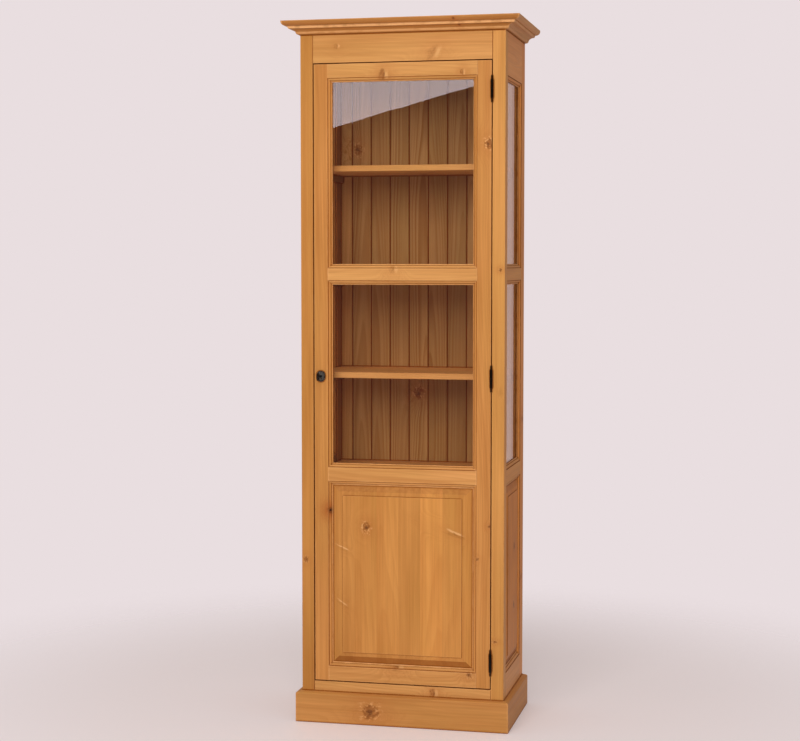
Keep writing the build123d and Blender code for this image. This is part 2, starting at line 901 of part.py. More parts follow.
save("hinge_frame_leaves", [hinge_leaf(centre, 1) for centre in hinge_levels])
save("hinge_door_leaves", [hinge_leaf(centre, -1) for centre in hinge_levels])

# ---------------------------------------------------------------- lock, key, strike

case_x = (case_left, case_left + lock_case_width)
case_y = (door_back_y, door_back_y + lock_case_depth)
case_z = (case_foot, case_foot + lock_case_height)
bolt_y = (door_back_y + bolt_cover, door_back_y + bolt_cover + bolt_thickness)
bolt_z = (key_z + bolt_rise, key_z + bolt_rise + bolt_height)
bolt_end = bolt_retreat - door_half

lock_case = block(case_x, case_y, case_z)
lock_case -= block(
    grown(case_x, -lock_case_wall),
    (door_back_y - overrun, case_y[1] - lock_case_wall),
    grown(case_z, -lock_case_wall),
)
lock_case -= block(
    (case_left - overrun, case_left + lock_case_wall + overrun),
    grown(bolt_y, bolt_clearance),
    grown(bolt_z, bolt_clearance),
)
lock_case -= key_turned(
    key_shaft_radius + key_running_clearance,
    (case_y[1] - lock_case_wall - overrun, case_y[1] + overrun),
)
save("lock_case", lock_case)

save("lock_bolt", block((bolt_end, bolt_end + bolt_length), bolt_y, bolt_z))


def escutcheon():
    """Upright oval plate with a raised rim and a keyhole."""
    face = Plane(origin=(key_x, front_y, key_z), x_dir=(1, 0, 0), z_dir=(0, -1, 0))

    def oval(inset):
        return SlotOverall(escutcheon_height - 2 * inset, escutcheon_width - 2 * inset, rotation=90)

    plate = extrude(face * oval(0), amount=escutcheon_thickness)
    rim = oval(0) - oval(escutcheon_rim_width)
    plate += extrude(face * rim, amount=escutcheon_thickness + escutcheon_rim)
    return plate - keyhole(key_hole_clearance, (front_y - escutcheon_thickness - overrun, front_y + overrun))


save("escutcheon", escutcheon())


def key():
    """Key with a ring bow, a collar in front of the plate and a bit inside the lock."""
    bow_y = front_y - key_bow_distance
    shaft_y = (bow_y + (key_bow_outer_radius + key_bow_inner_radius) / 2, case_y[1])
    collar_back = front_y - escutcheon_thickness - key_collar_gap
    collar_y = (collar_back - key_collar_length, collar_back)
    piece = key_turned(key_shaft_radius, shaft_y) + key_turned(key_collar_radius, collar_y)
    ring = Cylinder(key_bow_outer_radius, key_bow_thickness)
    ring -= Cylinder(key_bow_inner_radius, key_bow_thickness)
    piece += Pos(key_x, bow_y, key_z) * Rot(0, 90, 0) * ring
    bit_y = (door_back_y + key_bit_cover, door_back_y + key_bit_cover + key_bit_width)
    half = key_bit_thickness / 2
    piece += block((key_x - half, key_x + half), bit_y, (key_z - key_bit_length, key_z))
    return piece


save("key", key())

strike = block(
    (-front_post_inner - strike_thickness, -front_post_inner), strike_span_y, strike_span_z
)
strike -= block(
    (-front_post_inner - strike_thickness - overrun, -front_post_inner + overrun),
    strike_window_y,
    strike_window_z,
)
save("strike_plate", strike)
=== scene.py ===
import json
import math
import random
from collections.abc import Sequence
from dataclasses import dataclass

import bmesh
import bpy
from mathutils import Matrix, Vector
from mathutils.bvhtree import BVHTree


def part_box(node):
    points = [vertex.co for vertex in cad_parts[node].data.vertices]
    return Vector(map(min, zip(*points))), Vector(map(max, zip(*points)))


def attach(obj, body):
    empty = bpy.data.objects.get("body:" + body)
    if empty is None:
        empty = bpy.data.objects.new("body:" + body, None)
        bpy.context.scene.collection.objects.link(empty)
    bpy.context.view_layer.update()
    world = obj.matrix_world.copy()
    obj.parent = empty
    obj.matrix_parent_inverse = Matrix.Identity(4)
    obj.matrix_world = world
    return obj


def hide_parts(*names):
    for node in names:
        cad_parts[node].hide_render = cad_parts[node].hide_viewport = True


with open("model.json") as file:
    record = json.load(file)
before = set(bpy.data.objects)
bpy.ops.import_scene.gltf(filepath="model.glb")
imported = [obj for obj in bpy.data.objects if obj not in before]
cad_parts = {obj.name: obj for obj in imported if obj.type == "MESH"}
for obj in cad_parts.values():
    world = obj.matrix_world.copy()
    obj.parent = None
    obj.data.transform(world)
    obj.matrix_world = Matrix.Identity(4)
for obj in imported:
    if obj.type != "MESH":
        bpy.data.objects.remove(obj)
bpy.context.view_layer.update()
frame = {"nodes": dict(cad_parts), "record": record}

# The looks of a tall one-door pine display cabinet: waxed, knotty boards with softened edges,
# clear glass, blackened hinges and an antiqued lock plate, set on a pale studio floor.
# Metres, +Z up, the front faces -Y.

nodes = frame["nodes"]
scene = bpy.context.scene
MM = 0.001
X, Y, Z = 0, 1, 2
SIDES = {"left": -1, "right": 1}

# ---------------------------------------------------------------- colours


def colour(code):
    """Linear colour of a six-digit sRGB code."""
    shares = [int(code[i:i + 2], 16) / 255 for i in (0, 2, 4)]
    linear = [s / 12.92 if s <= 0.04045 else ((s + 0.055) / 1.055) ** 2.4 for s in shares]
    return (*linear, 1.0)


WHITE = colour("FFFFFF")
PALE_WALL = colour("E9DEE0")
PALE_FLOOR = colour("F0E8E9")
PALE_CARD = colour("EAE0E6")
MIRRORED_ROOM = colour("EBC9BF")
AMBIENT_LIGHT = (1.0, 0.92, 0.89, 1.0)
GLASS_TINT = (0.975, 0.952, 0.93, 1.0)
EARLY_WOOD = colour("D89850")
LATE_WOOD = colour("B06C2C")
OCHRE_WOOD = colour("BE8A3E")
END_GRAIN = colour("8E4E1C")
# rubbed pale edges; on the cornice's bands also a painted highlight
WORN_AND_HIGHLIT_WOOD = colour("F4B97A")
KNOT_BROWN = colour("8A4A18")
KNOT_DARK = colour("34140A")
KNOT_PALE = colour("EDB878")
KNOT_HALO = colour("B4682C")
# painted shade on the inside faces of the sides
INSIDE_SHADE_BROWN = colour("4A2E18")
# dark wax, also painted shade in recesses and on faces that look down
WAX_AND_SHADE_BROWN = colour("944E0C")

# ---------------------------------------------------------------- node graphs


class Graph:
    """Adds linked nodes to one node tree."""

    def __init__(self, tree):
        self.tree = tree

    def add(self, kind, inputs=(), **settings):
        """New node; inputs maps a socket's name or number to a value or to another socket."""
        node = self.tree.nodes.new(kind)
        for name, value in settings.items():
            setattr(node, name, value)
        for key, value in dict(inputs).items():
            if isinstance(value, bpy.types.NodeSocket):
                self.tree.links.new(value, node.inputs[key])
            else:
                node.inputs[key].default_value = value
        return node

    def math(self, operation, *values, clamp=False):
        inputs = dict(enumerate(values))
        return self.add("ShaderNodeMath", inputs, operation=operation, use_clamp=clamp).outputs[0]

    def mix(self, share, first, second, blend="MIX"):
        """Colour that is first where share is 0 and second where it is 1."""
        inputs = {0: share, 6: first, 7: second}
        return self.add("ShaderNodeMix", inputs, data_type="RGBA", blend_type=blend).outputs[2]

    def smooth(self, value, low, high, to_low=0.0, to_high=1.0):
        """Smooth step from to_low, where value is low, to to_high, where it is high."""
        inputs = {0: value, 1: low, 2: high, 3: to_low, 4: to_high}
        return self.add("ShaderNodeMapRange", inputs, interpolation_type="SMOOTHSTEP").outputs[0]

    def noise(self, vector, scale, detail=2.0, roughness=0.5):
        inputs = {"Vector": vector, "Scale": scale, "Detail": detail, "Roughness": roughness}
        return self.add("ShaderNodeTexNoise", inputs).outputs[0]

    def grain(self, place, repeats, detail=2.0, roughness=0.5):
        """Noise with a number of repeats in a metre for each axis."""
        scaled = self.add("ShaderNodeVectorMath", {0: place, 1: repeats}, operation="MULTIPLY")
        return self.noise(scaled.outputs[0], 1.0, detail, roughness)

    def swing(self, noise, width):
        """Noise from 0 to 1 turned into a width with zero in its middle."""
        return self.math("MULTIPLY_ADD", noise, width, -width / 2)

    def combine(self, x, y, z):
        return self.add("ShaderNodeCombineXYZ", {0: x, 1: y, 2: z}).outputs[0]

    def split(self, vector):
        return self.add("ShaderNodeSeparateXYZ", {0: vector}).outputs

    def coordinate(self, kind):
        return self.add("ShaderNodeTexCoord").outputs[kind]

    def openness(self, reach, samples, **settings):
        """Share of directions that are open within reach; with inside=True it looks into the solid."""
        node = self.add("ShaderNodeAmbientOcclusion", {"Distance": reach}, samples=samples, **settings)
        return node.outputs["AO"]

    def surface(self, shader):
        self.add("ShaderNodeOutputMaterial", {"Surface": shader.outputs[0]})

    def deliver(self, sockets, values):
        """Link values to the sockets of their names; returns the finished tree."""
        for name, value in values.items():
            self.tree.links.new(value, sockets[name])
        return self.tree


def new_material(name):
    """Material with an empty graph."""
    material = bpy.data.materials.new(name)
    material.use_nodes = True
    material.node_tree.nodes.clear()
    return material, Graph(material.node_tree)


def new_group(name, inputs, outputs):
    """Graph of an empty node group with its sockets; inputs and outputs are lists of (name, kind)."""
    tree = bpy.data.node_groups.new(name, "ShaderNodeTree")
    for label, kind in inputs:
        tree.interface.new_socket(label, in_out="INPUT", socket_type=kind)
    for label, kind in outputs:
        tree.interface.new_socket(label, in_out="OUTPUT", socket_type=kind)
    g = Graph(tree)
    return g, g.add("NodeGroupInput").outputs, g.add("NodeGroupOutput").inputs


def numbers(*labels):
    """Sockets for plain numbers."""
    return [(label, "NodeSocketFloat") for label in labels]


# ---------------------------------------------------------------- knots

KNOT_SHUFFLE = (37.0, 19.0)     # sets the noise of knots at different places apart
KNOT_WARP = 1.5                 # how uneven its outline is, in radii
WARP_REPEATS, FLECK_REPEATS, MOTTLE_REPEATS = 1.5, 4.5, 2.4     # of its noises, in a radius
HALO_FALL = 0.16                # how fast its influence falls off with the square of the distance
KNOT_PUSH = 0.9                 # how far it pushes the rings aside at its middle, in radii
PUSH_SPREAD = 0.4               # how gently the push changes from one side of it to the other
CRACK_WIDTH = 0.035             # a crack is where the flecks' noise is this near its middle
CRACK_DARKNESS = 0.5
ROUND_CORE_DARKNESS, SPIKE_CORE_DARKNESS = 0.55, 0.25
BROWN_MOTTLE, BROWN_SHARES = (0.36, 0.6), (0.85, 0.3)
RING_MOTTLE = (0.5, 0.64)

# Limits of a knot's parts, as distances from its centre in shares of its radius. A spike knot is
# brown on one side of its centre and pale on the other, so its parts have a (shift, squeeze) too.
CORE_SHIFT, CORE = (0.1, 1.2), (0.42, 0.18)
ROUND_FACE = (1.15, 0.7)
SPIKE_FACE_SHIFT, SPIKE_FACE = (0.4, 1.0), (1.1, 0.5)
SPIKE_PALE_SHIFT, SPIKE_PALE = (-0.5, 1.5), (1.0, 0.3)
RING_INSIDE, RING_OUTSIDE = (0.4, 0.8), (1.8, 1.1)
CRACK_LIMITS = (1.0, 0.5)


def knot_group():
    """One knot: how far it pushes the rings aside, its brown, dark and pale parts and its halo."""
    g, given, out = new_group(
        "knot",
        numbers("Along", "Across", "Knot along", "Knot across", "Radius", "Stretch", "Darkness",
                "Paleness", "Spike", "Slant"),
        numbers("Push", "Brown", "Dark", "Pale", "Halo"),
    )
    across = g.math("SUBTRACT", given["Across"], given["Knot across"])
    along = g.math("SUBTRACT", given["Along"], given["Knot along"])
    along = g.math("MULTIPLY_ADD", across, given["Slant"], along)
    along = g.math("DIVIDE", along, g.math("MULTIPLY", given["Radius"], given["Stretch"]))
    across = g.math("DIVIDE", across, given["Radius"])
    start = g.math("MULTIPLY", given["Knot across"], KNOT_SHUFFLE[1])
    start = g.math("MULTIPLY_ADD", given["Knot along"], KNOT_SHUFFLE[0], start)
    place = g.combine(along, across, start)
    warp = g.swing(g.noise(place, WARP_REPEATS, detail=3.0, roughness=0.55), KNOT_WARP)
    flecks = g.noise(place, FLECK_REPEATS)
    mottle = g.noise(place, MOTTLE_REPEATS, detail=3.0, roughness=0.6)

    def away(shift, squeeze):
        """Uneven distance from a point beside the knot's centre."""
        moved = g.math("MULTIPLY", g.math("ADD", along, shift), squeeze)
        squares = g.math("ADD", g.math("POWER", moved, 2.0), g.math("POWER", across, 2.0))
        return g.math("ADD", g.math("SQRT", squares), warp)

    def either(spike, plain):
        """Value for a spike knot or for a round one."""
        rest = g.math("MULTIPLY", plain, g.math("SUBTRACT", 1.0, given["Spike"]))
        return g.math("MULTIPLY_ADD", spike, given["Spike"], rest)

    distance = away(0.0, 1.0)
    near = g.math("EXPONENT", g.math("MULTIPLY", g.math("POWER", distance, 2.0), -HALO_FALL))
    side = g.math("DIVIDE", across, g.math("SQRT", g.math("MULTIPLY_ADD", across, across, PUSH_SPREAD)))
    push = g.math("MULTIPLY", near, g.math("MULTIPLY_ADD", side, -KNOT_PUSH, KNOT_PUSH))
    core = g.smooth(away(*CORE_SHIFT), *CORE)
    ring = g.math("MULTIPLY", g.smooth(distance, *RING_INSIDE), g.smooth(distance, *RING_OUTSIDE))
    ring = g.math("MULTIPLY", ring, g.smooth(mottle, *RING_MOTTLE))
    pale = either(g.smooth(away(*SPIKE_PALE_SHIFT), *SPIKE_PALE), ring)
    pale = g.math("MULTIPLY", pale, g.math("SUBTRACT", 1.0, core))
    face = either(g.smooth(away(*SPIKE_FACE_SHIFT), *SPIKE_FACE), g.smooth(distance, *ROUND_FACE))
    brown = g.math("MULTIPLY", face, g.smooth(mottle, *BROWN_MOTTLE, *BROWN_SHARES))
    brown = g.math("MULTIPLY", brown, g.math("SUBTRACT", 1.0, pale))
    cracks = g.smooth(g.math("ABSOLUTE", g.math("SUBTRACT", flecks, 0.5)), CRACK_WIDTH, 0.0)
    cracks = g.math("MULTIPLY", cracks, g.smooth(distance, *CRACK_LIMITS, 0.0, CRACK_DARKNESS))
    cracked = g.math("MAXIMUM", g.math("MULTIPLY", core, ROUND_CORE_DARKNESS), cracks)
    dark = either(g.math("MULTIPLY", core, SPIKE_CORE_DARKNESS), cracked)
    return g.deliver(out, {
        "Push": g.math("MULTIPLY", push, given["Radius"]),
        "Brown": g.math("MULTIPLY", brown, given["Darkness"]),
        "Dark": g.math("MULTIPLY", dark, given["Darkness"]),
        "Pale": g.math("MULTIPLY", pale, given["Paleness"]),
        "Halo": g.math("MULTIPLY", near, given["Darkness"]),
    })


# ---------------------------------------------------------------- growth rings

# repeats in a metre along, across and into the log
DRIFT = (0.8, 0.0, 0.0)
SWAY = (2.2, 9.0, 9.0)
FIBRES = (9.0, 620.0, 620.0)
STREAKS = (1.1, 80.0, 80.0)
BLOTCHES = (3.0, 14.0, 14.0)
HUES = (1.7, 8.0, 8.0)

PITH_DRIFT = 70 * MM            # how far the pith wanders across the log
RING_SWAY = 11 * MM             # how far the rings bend in and out
LOG_TAPER = 0.014               # how much wider the rings are for each metre along the log
RING_UNEVENNESS = 1.9           # in rings
RING_REPEATS = 0.55             # in a ring, of the noise that makes the rings uneven
YEAR_REPEATS = 0.31             # in a ring, of the noise that makes some years' late wood darker
YEAR_SEED = 7.3                 # sets the two noises apart
LATE_START, LATE_END = (0.2, 0.86), (1.0, 0.9)      # where in a ring the late wood comes and goes
YEAR_LIMITS, YEAR_SHARES = (0.3, 0.7), (0.25, 1.0)
BLOTCH_SHARE = 0.4              # the rest of the stain is streaks


def figure_group():
    """Growth rings, fibres and stains of pine cut from a log that lies along the first axis."""
    g, given, out = new_group(
        "figure",
        [("Place", "NodeSocketVector")] + numbers("Push", "Pith across", "Pith depth", "Ring width"),
        numbers("Late", "Fibre", "Stain", "Hue"),
    )
    place = given["Place"]
    along, across, depth = g.split(place)
    across = g.math("SUBTRACT", across, given["Pith across"])
    across = g.math("ADD", across, g.swing(g.grain(place, DRIFT, detail=1.0), PITH_DRIFT))
    depth = g.math("SUBTRACT", depth, given["Pith depth"])
    radius = g.math("SQRT", g.math("ADD", g.math("POWER", across, 2.0), g.math("POWER", depth, 2.0)))
    radius = g.math("ADD", radius, g.math("MULTIPLY", along, LOG_TAPER))
    radius = g.math("ADD", radius, g.swing(g.grain(place, SWAY), RING_SWAY))
    radius = g.math("ADD", radius, given["Push"])
    rings = g.math("DIVIDE", radius, given["Ring width"])
    uneven = g.noise(g.combine(rings, 0.0, 0.0), RING_REPEATS, detail=1.0)
    phase = g.math("FRACT", g.math("MULTIPLY_ADD", uneven, RING_UNEVENNESS, rings))
    late = g.math("MULTIPLY", g.smooth(phase, *LATE_START), g.smooth(phase, *LATE_END))
    years = g.noise(g.combine(rings, YEAR_SEED, 0.0), YEAR_REPEATS)
    late = g.math("MULTIPLY", late, g.smooth(years, *YEAR_LIMITS, *YEAR_SHARES))
    streak = g.grain(place, STREAKS, detail=3.0, roughness=0.75)
    blotch = g.grain(place, BLOTCHES, detail=3.0)
    stain = g.math("MULTIPLY_ADD", blotch, BLOTCH_SHARE, g.math("MULTIPLY", streak, 1.0 - BLOTCH_SHARE))
    return g.deliver(out, {
        "Late": late,
        "Fibre": g.grain(place, FIBRES, detail=3.0, roughness=0.65),
        "Stain": stain,
        "Hue": g.grain(place, HUES),
    })


# ---------------------------------------------------------------- wax, wear and painted shade

RUB_REACH = 3.5 * MM            # how near an edge the wood is rubbed pale
QUIRK_REACH = 5 * MM            # wax and painted shade in quirks and joints
HOLLOW_REACH = 16 * MM          # wax and painted shade in wider hollows
PATCH_REPEATS = 38.0            # in a metre, for the patches in which wax and wear come

# limits between which each of these goes from none to all, and how strong it is then
END_LIMITS, END_SHARE = (0.04, 0.28), 0.32
RUB_LIMITS = (0.93, 0.55)
QUIRK_LIMITS, QUIRK_SHARE = (0.98, 0.76), 0.95
HOLLOW_LIMITS, HOLLOW_SHARE = (0.66, 0.25), 0.7
# painted shade on faces that look down: limits of the upward part of their normal
DOWNWARD_SHADE_LIMITS = (-0.1, -0.4)

# for the patches: the limits, and the shares that are left below and above them
END_PATCHES = (0.3, 0.6, 0.6, 1.0)
RUB_PATCHES = (0.34, 0.62, 0.3, 1.0)
BAND_PATCHES = (0.34, 0.54, 0.6, 1.0)

# roughness of waxed wood, and what fibres, late wood and thick wax add to it
BASE_ROUGHNESS, FIBRE_ROUGHNESS, LATE_ROUGHNESS, WAX_ROUGHNESS = 0.38, 0.16, -0.05, 0.4
LATE_HEIGHT, KNOT_HEIGHT = 0.5, -0.3        # as shares of the fibres' height


def waxed_and_shaded_group():
    """Waxed surface: dark wax and painted shade in recesses, painted shade on faces that look down, rubbed
    edges, rubbed bands that carry a painted highlight, dark end grain.
    """
    g, given, out = new_group(
        "waxed_and_shaded",
        [("Colour", "NodeSocketColor")] + numbers("Late", "Fibre", "Knot", "End", "Wear", "Rub and highlight", "Downward shade"),
        [("Colour", "NodeSocketColor")] + numbers("Roughness", "Height"),
    )
    patches = g.noise(g.coordinate("Object"), PATCH_REPEATS, detail=3.0, roughness=0.6)
    end = g.math("MULTIPLY", g.smooth(given["End"], *END_LIMITS), END_SHARE)
    end = g.math("MULTIPLY", end, g.smooth(patches, *END_PATCHES))
    edge = g.openness(RUB_REACH, 8, inside=True, only_local=True)
    rubbed = g.math("MULTIPLY", g.smooth(edge, *RUB_LIMITS), given["Wear"])
    rubbed = g.math("MULTIPLY", rubbed, g.smooth(patches, *RUB_PATCHES))
    # pale bands: rubbed wear with a painted highlight
    bands = g.math("MULTIPLY", given["Rub and highlight"], g.smooth(patches, *BAND_PATCHES))
    rubbed = g.math("MAXIMUM", rubbed, bands)
    # dark wax and painted shade where the surface is closed in, in quirks and hollows
    quirks = g.smooth(g.openness(QUIRK_REACH, 12), *QUIRK_LIMITS, 0.0, QUIRK_SHARE)
    hollows = g.smooth(g.openness(HOLLOW_REACH, 8), *HOLLOW_LIMITS, 0.0, HOLLOW_SHARE)
    wax_and_shade_share = g.math("MAXIMUM", quirks, hollows)
    # painted shade on faces that look down, in the dark wax colour
    upward = g.split(g.coordinate("Normal"))[Z]
    downward_shading = g.math("MULTIPLY", g.smooth(upward, *DOWNWARD_SHADE_LIMITS), given["Downward shade"])
    wax_and_shade_share = g.math("MAXIMUM", wax_and_shade_share, downward_shading)
    shade = g.mix(end, given["Colour"], END_GRAIN)
    # mix in the dark wax and the painted shade
    shade = g.mix(wax_and_shade_share, shade, WAX_AND_SHADE_BROWN)
    shade = g.mix(rubbed, shade, WORN_AND_HIGHLIT_WOOD)
    rough = g.math("MULTIPLY_ADD", given["Fibre"], FIBRE_ROUGHNESS, BASE_ROUGHNESS)
    rough = g.math("MULTIPLY_ADD", given["Late"], LATE_ROUGHNESS, rough)
    rough = g.math("MULTIPLY_ADD", wax_and_shade_share, WAX_ROUGHNESS, rough, clamp=True)
    height = g.math("MULTIPLY_ADD", given["Late"], LATE_HEIGHT, given["Fibre"])
    height = g.math("MULTIPLY_ADD", given["Knot"], KNOT_HEIGHT, height)
    return g.deliver(out, {"Colour": shade, "Roughness": rough, "Height": height})


KNOT = knot_group()
FIGURE = figure_group()
WAXED_AND_SHADED = waxed_and_shaded_group()

# ---------------------------------------------------------------- pine

LOG_START = (5, 40)             # where along its log a board is cut, in metres
STAVE_SLIDE = 23.0              # how far apart along the log the staves of a panel may come from
STAVE_SPREAD = 60 * MM          # how far they may come from one another across it
STAVE_TONES = 0.24              # how much they differ in tone
BAND_FADE = 0.6                 # half the width over which a pale band fades, in mm

# limits between which each of these colours comes in, and how much of it there is then
OCHRE_LIMITS, OCHRE_SHARE = (0.4, 0.65), 0.4
STAIN_LIMITS, STAIN_SHARE = (0.36, 0.68), 0.5
# painted shade on the inside faces of the sides
INSIDE_SHADE_LIMITS, INSIDE_SHADE_SHARE = (0.3, 0.8), 0.55
HALO_SHARE = 0.4
FIBRE_DARK, FIBRE_SPAN = 0.92, 0.26         # tone of the darkest fibres, and how much paler others are


@dataclass
class Pine:
    """How one board is cut from its log and how its surface has aged."""

    along: int                  # axis of the log
    across: int                 # axis of the board's width
    pith: Sequence              # place of the log's middle across the board and into it, in metres
    tone: float
    ring: float = 3.6           # width of a growth ring, in mm
    knots: Sequence = ()
    stave: Sequence = ()        # for a panel glued from staves: where they start and their width, in mm
    stave_tones: Sequence = ()  # first stave's number and the tone of each; otherwise they are random
    figure: float = 0.3         # how strongly the rings show
    tint: Sequence = (1.0, 1.0, 1.0)
    wear: float = 0.3           # how pale the edges are rubbed
    bands: Sequence = ()        # (low, high, share) across the board, in mm, where it is rubbed pale and has a painted highlight
    downward_shade: float = 0.1           # painted shade on faces that look down
    inner: int = 0              # -1 or 1 for a piece of the left or right side, with painted shade on its inside

    @property
    def depth(self):
        return X + Y + Z - self.along - self.across


def knot(along, across, radius, stretch=1.2, darkness=0.9, paleness=0.5, spike=0.0, slant=0.0):
    """Knot on a board, in mm; spike is 1 for a spike knot, slant turns it off the grain."""
    return {
        "Knot along": along * MM, "Knot across": across * MM, "Radius": radius * MM, "Stretch": stretch,
        "Darkness": darkness, "Paleness": paleness, "Spike": spike, "Slant": slant,
    }


def tone_steps(g, index, first, tones):
    """Tone of each stave from a list, for stave numbers from first on."""
    share = g.math("DIVIDE", g.math("SUBTRACT", index, first - 0.5), len(tones))
    ramp = g.add("ShaderNodeValToRGB", {0: share})
    ramp.color_ramp.interpolation = "CONSTANT"
    stops = ramp.color_ramp.elements
    while len(stops) < len(tones):
        stops.new(0.5)
    for number, tone in enumerate(tones):
        stops[number].position = number / len(tones)
        stops[number].color = (tone, tone, tone, 1.0)
    return ramp.outputs[0]


def log_place(g, board, chance, axes):
    """Place in the log of each point of a board, or of each of its staves, and its tone."""
    along, across, depth = axes[board.along], axes[board.across], axes[board.depth]
    along = g.math("ADD", along, chance.uniform(*LOG_START))
    if not board.stave:
        return (along, across, depth), board.tone
    edge, pitch = (value * MM for value in board.stave)
    index = g.math("FLOOR", g.math("DIVIDE", g.math("SUBTRACT", across, edge), pitch))
    number = g.math("ADD", index, chance.uniform(*LOG_START))
    seed = g.add("ShaderNodeTexWhiteNoise", {"W": number}, noise_dimensions="1D").outputs[0]
    along = g.math("MULTIPLY_ADD", seed, STAVE_SLIDE, along)
    centre = g.math("MULTIPLY", g.math("ADD", index, 0.5), pitch)
    across = g.math("SUBTRACT", g.math("SUBTRACT", across, edge), centre)
    across = g.math("MULTIPLY_ADD", g.math("SUBTRACT", seed, 0.5), STAVE_SPREAD, across)
    if board.stave_tones:
        tone = tone_steps(g, index, *board.stave_tones)
    else:
        tone = g.math("MULTIPLY_ADD", seed, STAVE_TONES, board.tone - STAVE_TONES / 2)
    return (along, across, depth), tone


def knot_marks(g, board, axes):
    """What all the knots of a board do together: the rings' shift, and the knots' colours."""
    marks = {"Push": 0.0, "Brown": 0.0, "Dark": 0.0, "Pale": 0.0, "Halo": 0.0}
    for values in board.knots:
        inputs = {"Along": axes[board.along], "Across": axes[board.across], **values}
        spot = g.add("ShaderNodeGroup", inputs, node_tree=KNOT).outputs
        for name, total in marks.items():
            marks[name] = g.math("ADD" if name == "Push" else "MAXIMUM", total, spot[name])
    return marks


def rubbed_and_highlight_bands(g, board, across):
    """Pale bands on the highest members of a moulding: rubbed wear with a painted highlight."""
    rub = 0.0
    for low, high, share in board.bands:
        start = g.smooth(across, (low - BAND_FADE) * MM, (low + BAND_FADE) * MM)
        end = g.smooth(across, (high + BAND_FADE) * MM, (high - BAND_FADE) * MM, 0.0, share)
        rub = g.math("MAXIMUM", rub, g.math("MULTIPLY", start, end))
    return rub


def timber_colour(g, board, figure, tone, marks):
    """Colour of the bare wood, with its knots."""
    shade = g.mix(g.smooth(figure["Hue"], *OCHRE_LIMITS, 0.0, OCHRE_SHARE), EARLY_WOOD, OCHRE_WOOD)
    shade = g.mix(g.math("MULTIPLY", figure["Late"], board.figure), shade, LATE_WOOD)
    shade = g.mix(g.smooth(figure["Stain"], *STAIN_LIMITS, 0.0, STAIN_SHARE), shade, LATE_WOOD)
    light = g.math("MULTIPLY", g.math("MULTIPLY_ADD", figure["Fibre"], FIBRE_SPAN, FIBRE_DARK), tone)
    light = g.combine(*(g.math("MULTIPLY", light, share) for share in board.tint))
    shade = g.mix(1.0, shade, light, blend="MULTIPLY")
    if board.knots:
        shade = g.mix(g.math("MULTIPLY", marks["Halo"], HALO_SHARE), shade, KNOT_HALO)
        shade = g.mix(marks["Pale"], shade, KNOT_PALE)
        shade = g.mix(marks["Brown"], shade, KNOT_BROWN)
        shade = g.mix(marks["Dark"], shade, KNOT_DARK)
    return shade


def pine_material(name, board):
    """Material for one board, or for a panel glued from staves."""
    material, g = new_material("pine_" + name)
    axes = g.split(g.coordinate("Object"))
    normal = g.split(g.coordinate("Normal"))
    place, tone = log_place(g, board, random.Random(name), axes)
    marks = knot_marks(g, board, axes)
    figure = g.add(
        "ShaderNodeGroup",
        {"Place": g.combine(*place), "Push": marks["Push"], "Pith across": board.pith[0],
         "Pith depth": board.pith[1], "Ring width": board.ring * MM},
        node_tree=FIGURE,
    ).outputs
    shade = timber_colour(g, board, figure, tone, marks)
    # painted shade on the faces that look into the cabinet
    if board.inner:
        inward = g.math("MULTIPLY", normal[X], -board.inner)
        shade = g.mix(g.smooth(inward, *INSIDE_SHADE_LIMITS, 0.0, INSIDE_SHADE_SHARE), shade, INSIDE_SHADE_BROWN)
    waxed_and_shaded = g.add(
        "ShaderNodeGroup",
        {"Colour": shade, "Late": figure["Late"], "Fibre": figure["Fibre"], "Knot": marks["Brown"],
         "End": g.math("ABSOLUTE", normal[board.along]), "Wear": board.wear,
         "Rub and highlight": rubbed_and_highlight_bands(g, board, axes[board.across]), "Downward shade": board.downward_shade},
        node_tree=WAXED_AND_SHADED,
    ).outputs
    bump = g.add("ShaderNodeBump", {"Height": waxed_and_shaded["Height"], "Strength": 0.3, "Distance": 0.6 * MM})
    g.surface(g.add(
        "ShaderNodeBsdfPrincipled",
        {"Base Color": waxed_and_shaded["Colour"], "Roughness": waxed_and_shaded["Roughness"], "Normal": bump.outputs[0],
         "Specular IOR Level": 0.3},
    ))
    return material


cornice_foot = round(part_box("cornice_front")[0].z / MM, 1)
FILLET = (cornice_foot + 15.5, cornice_foot + 22.0)     # between the cornice's cove and its fascia
CORNICE_BEAD = (cornice_foot + 2.0, cornice_foot + 7.5)
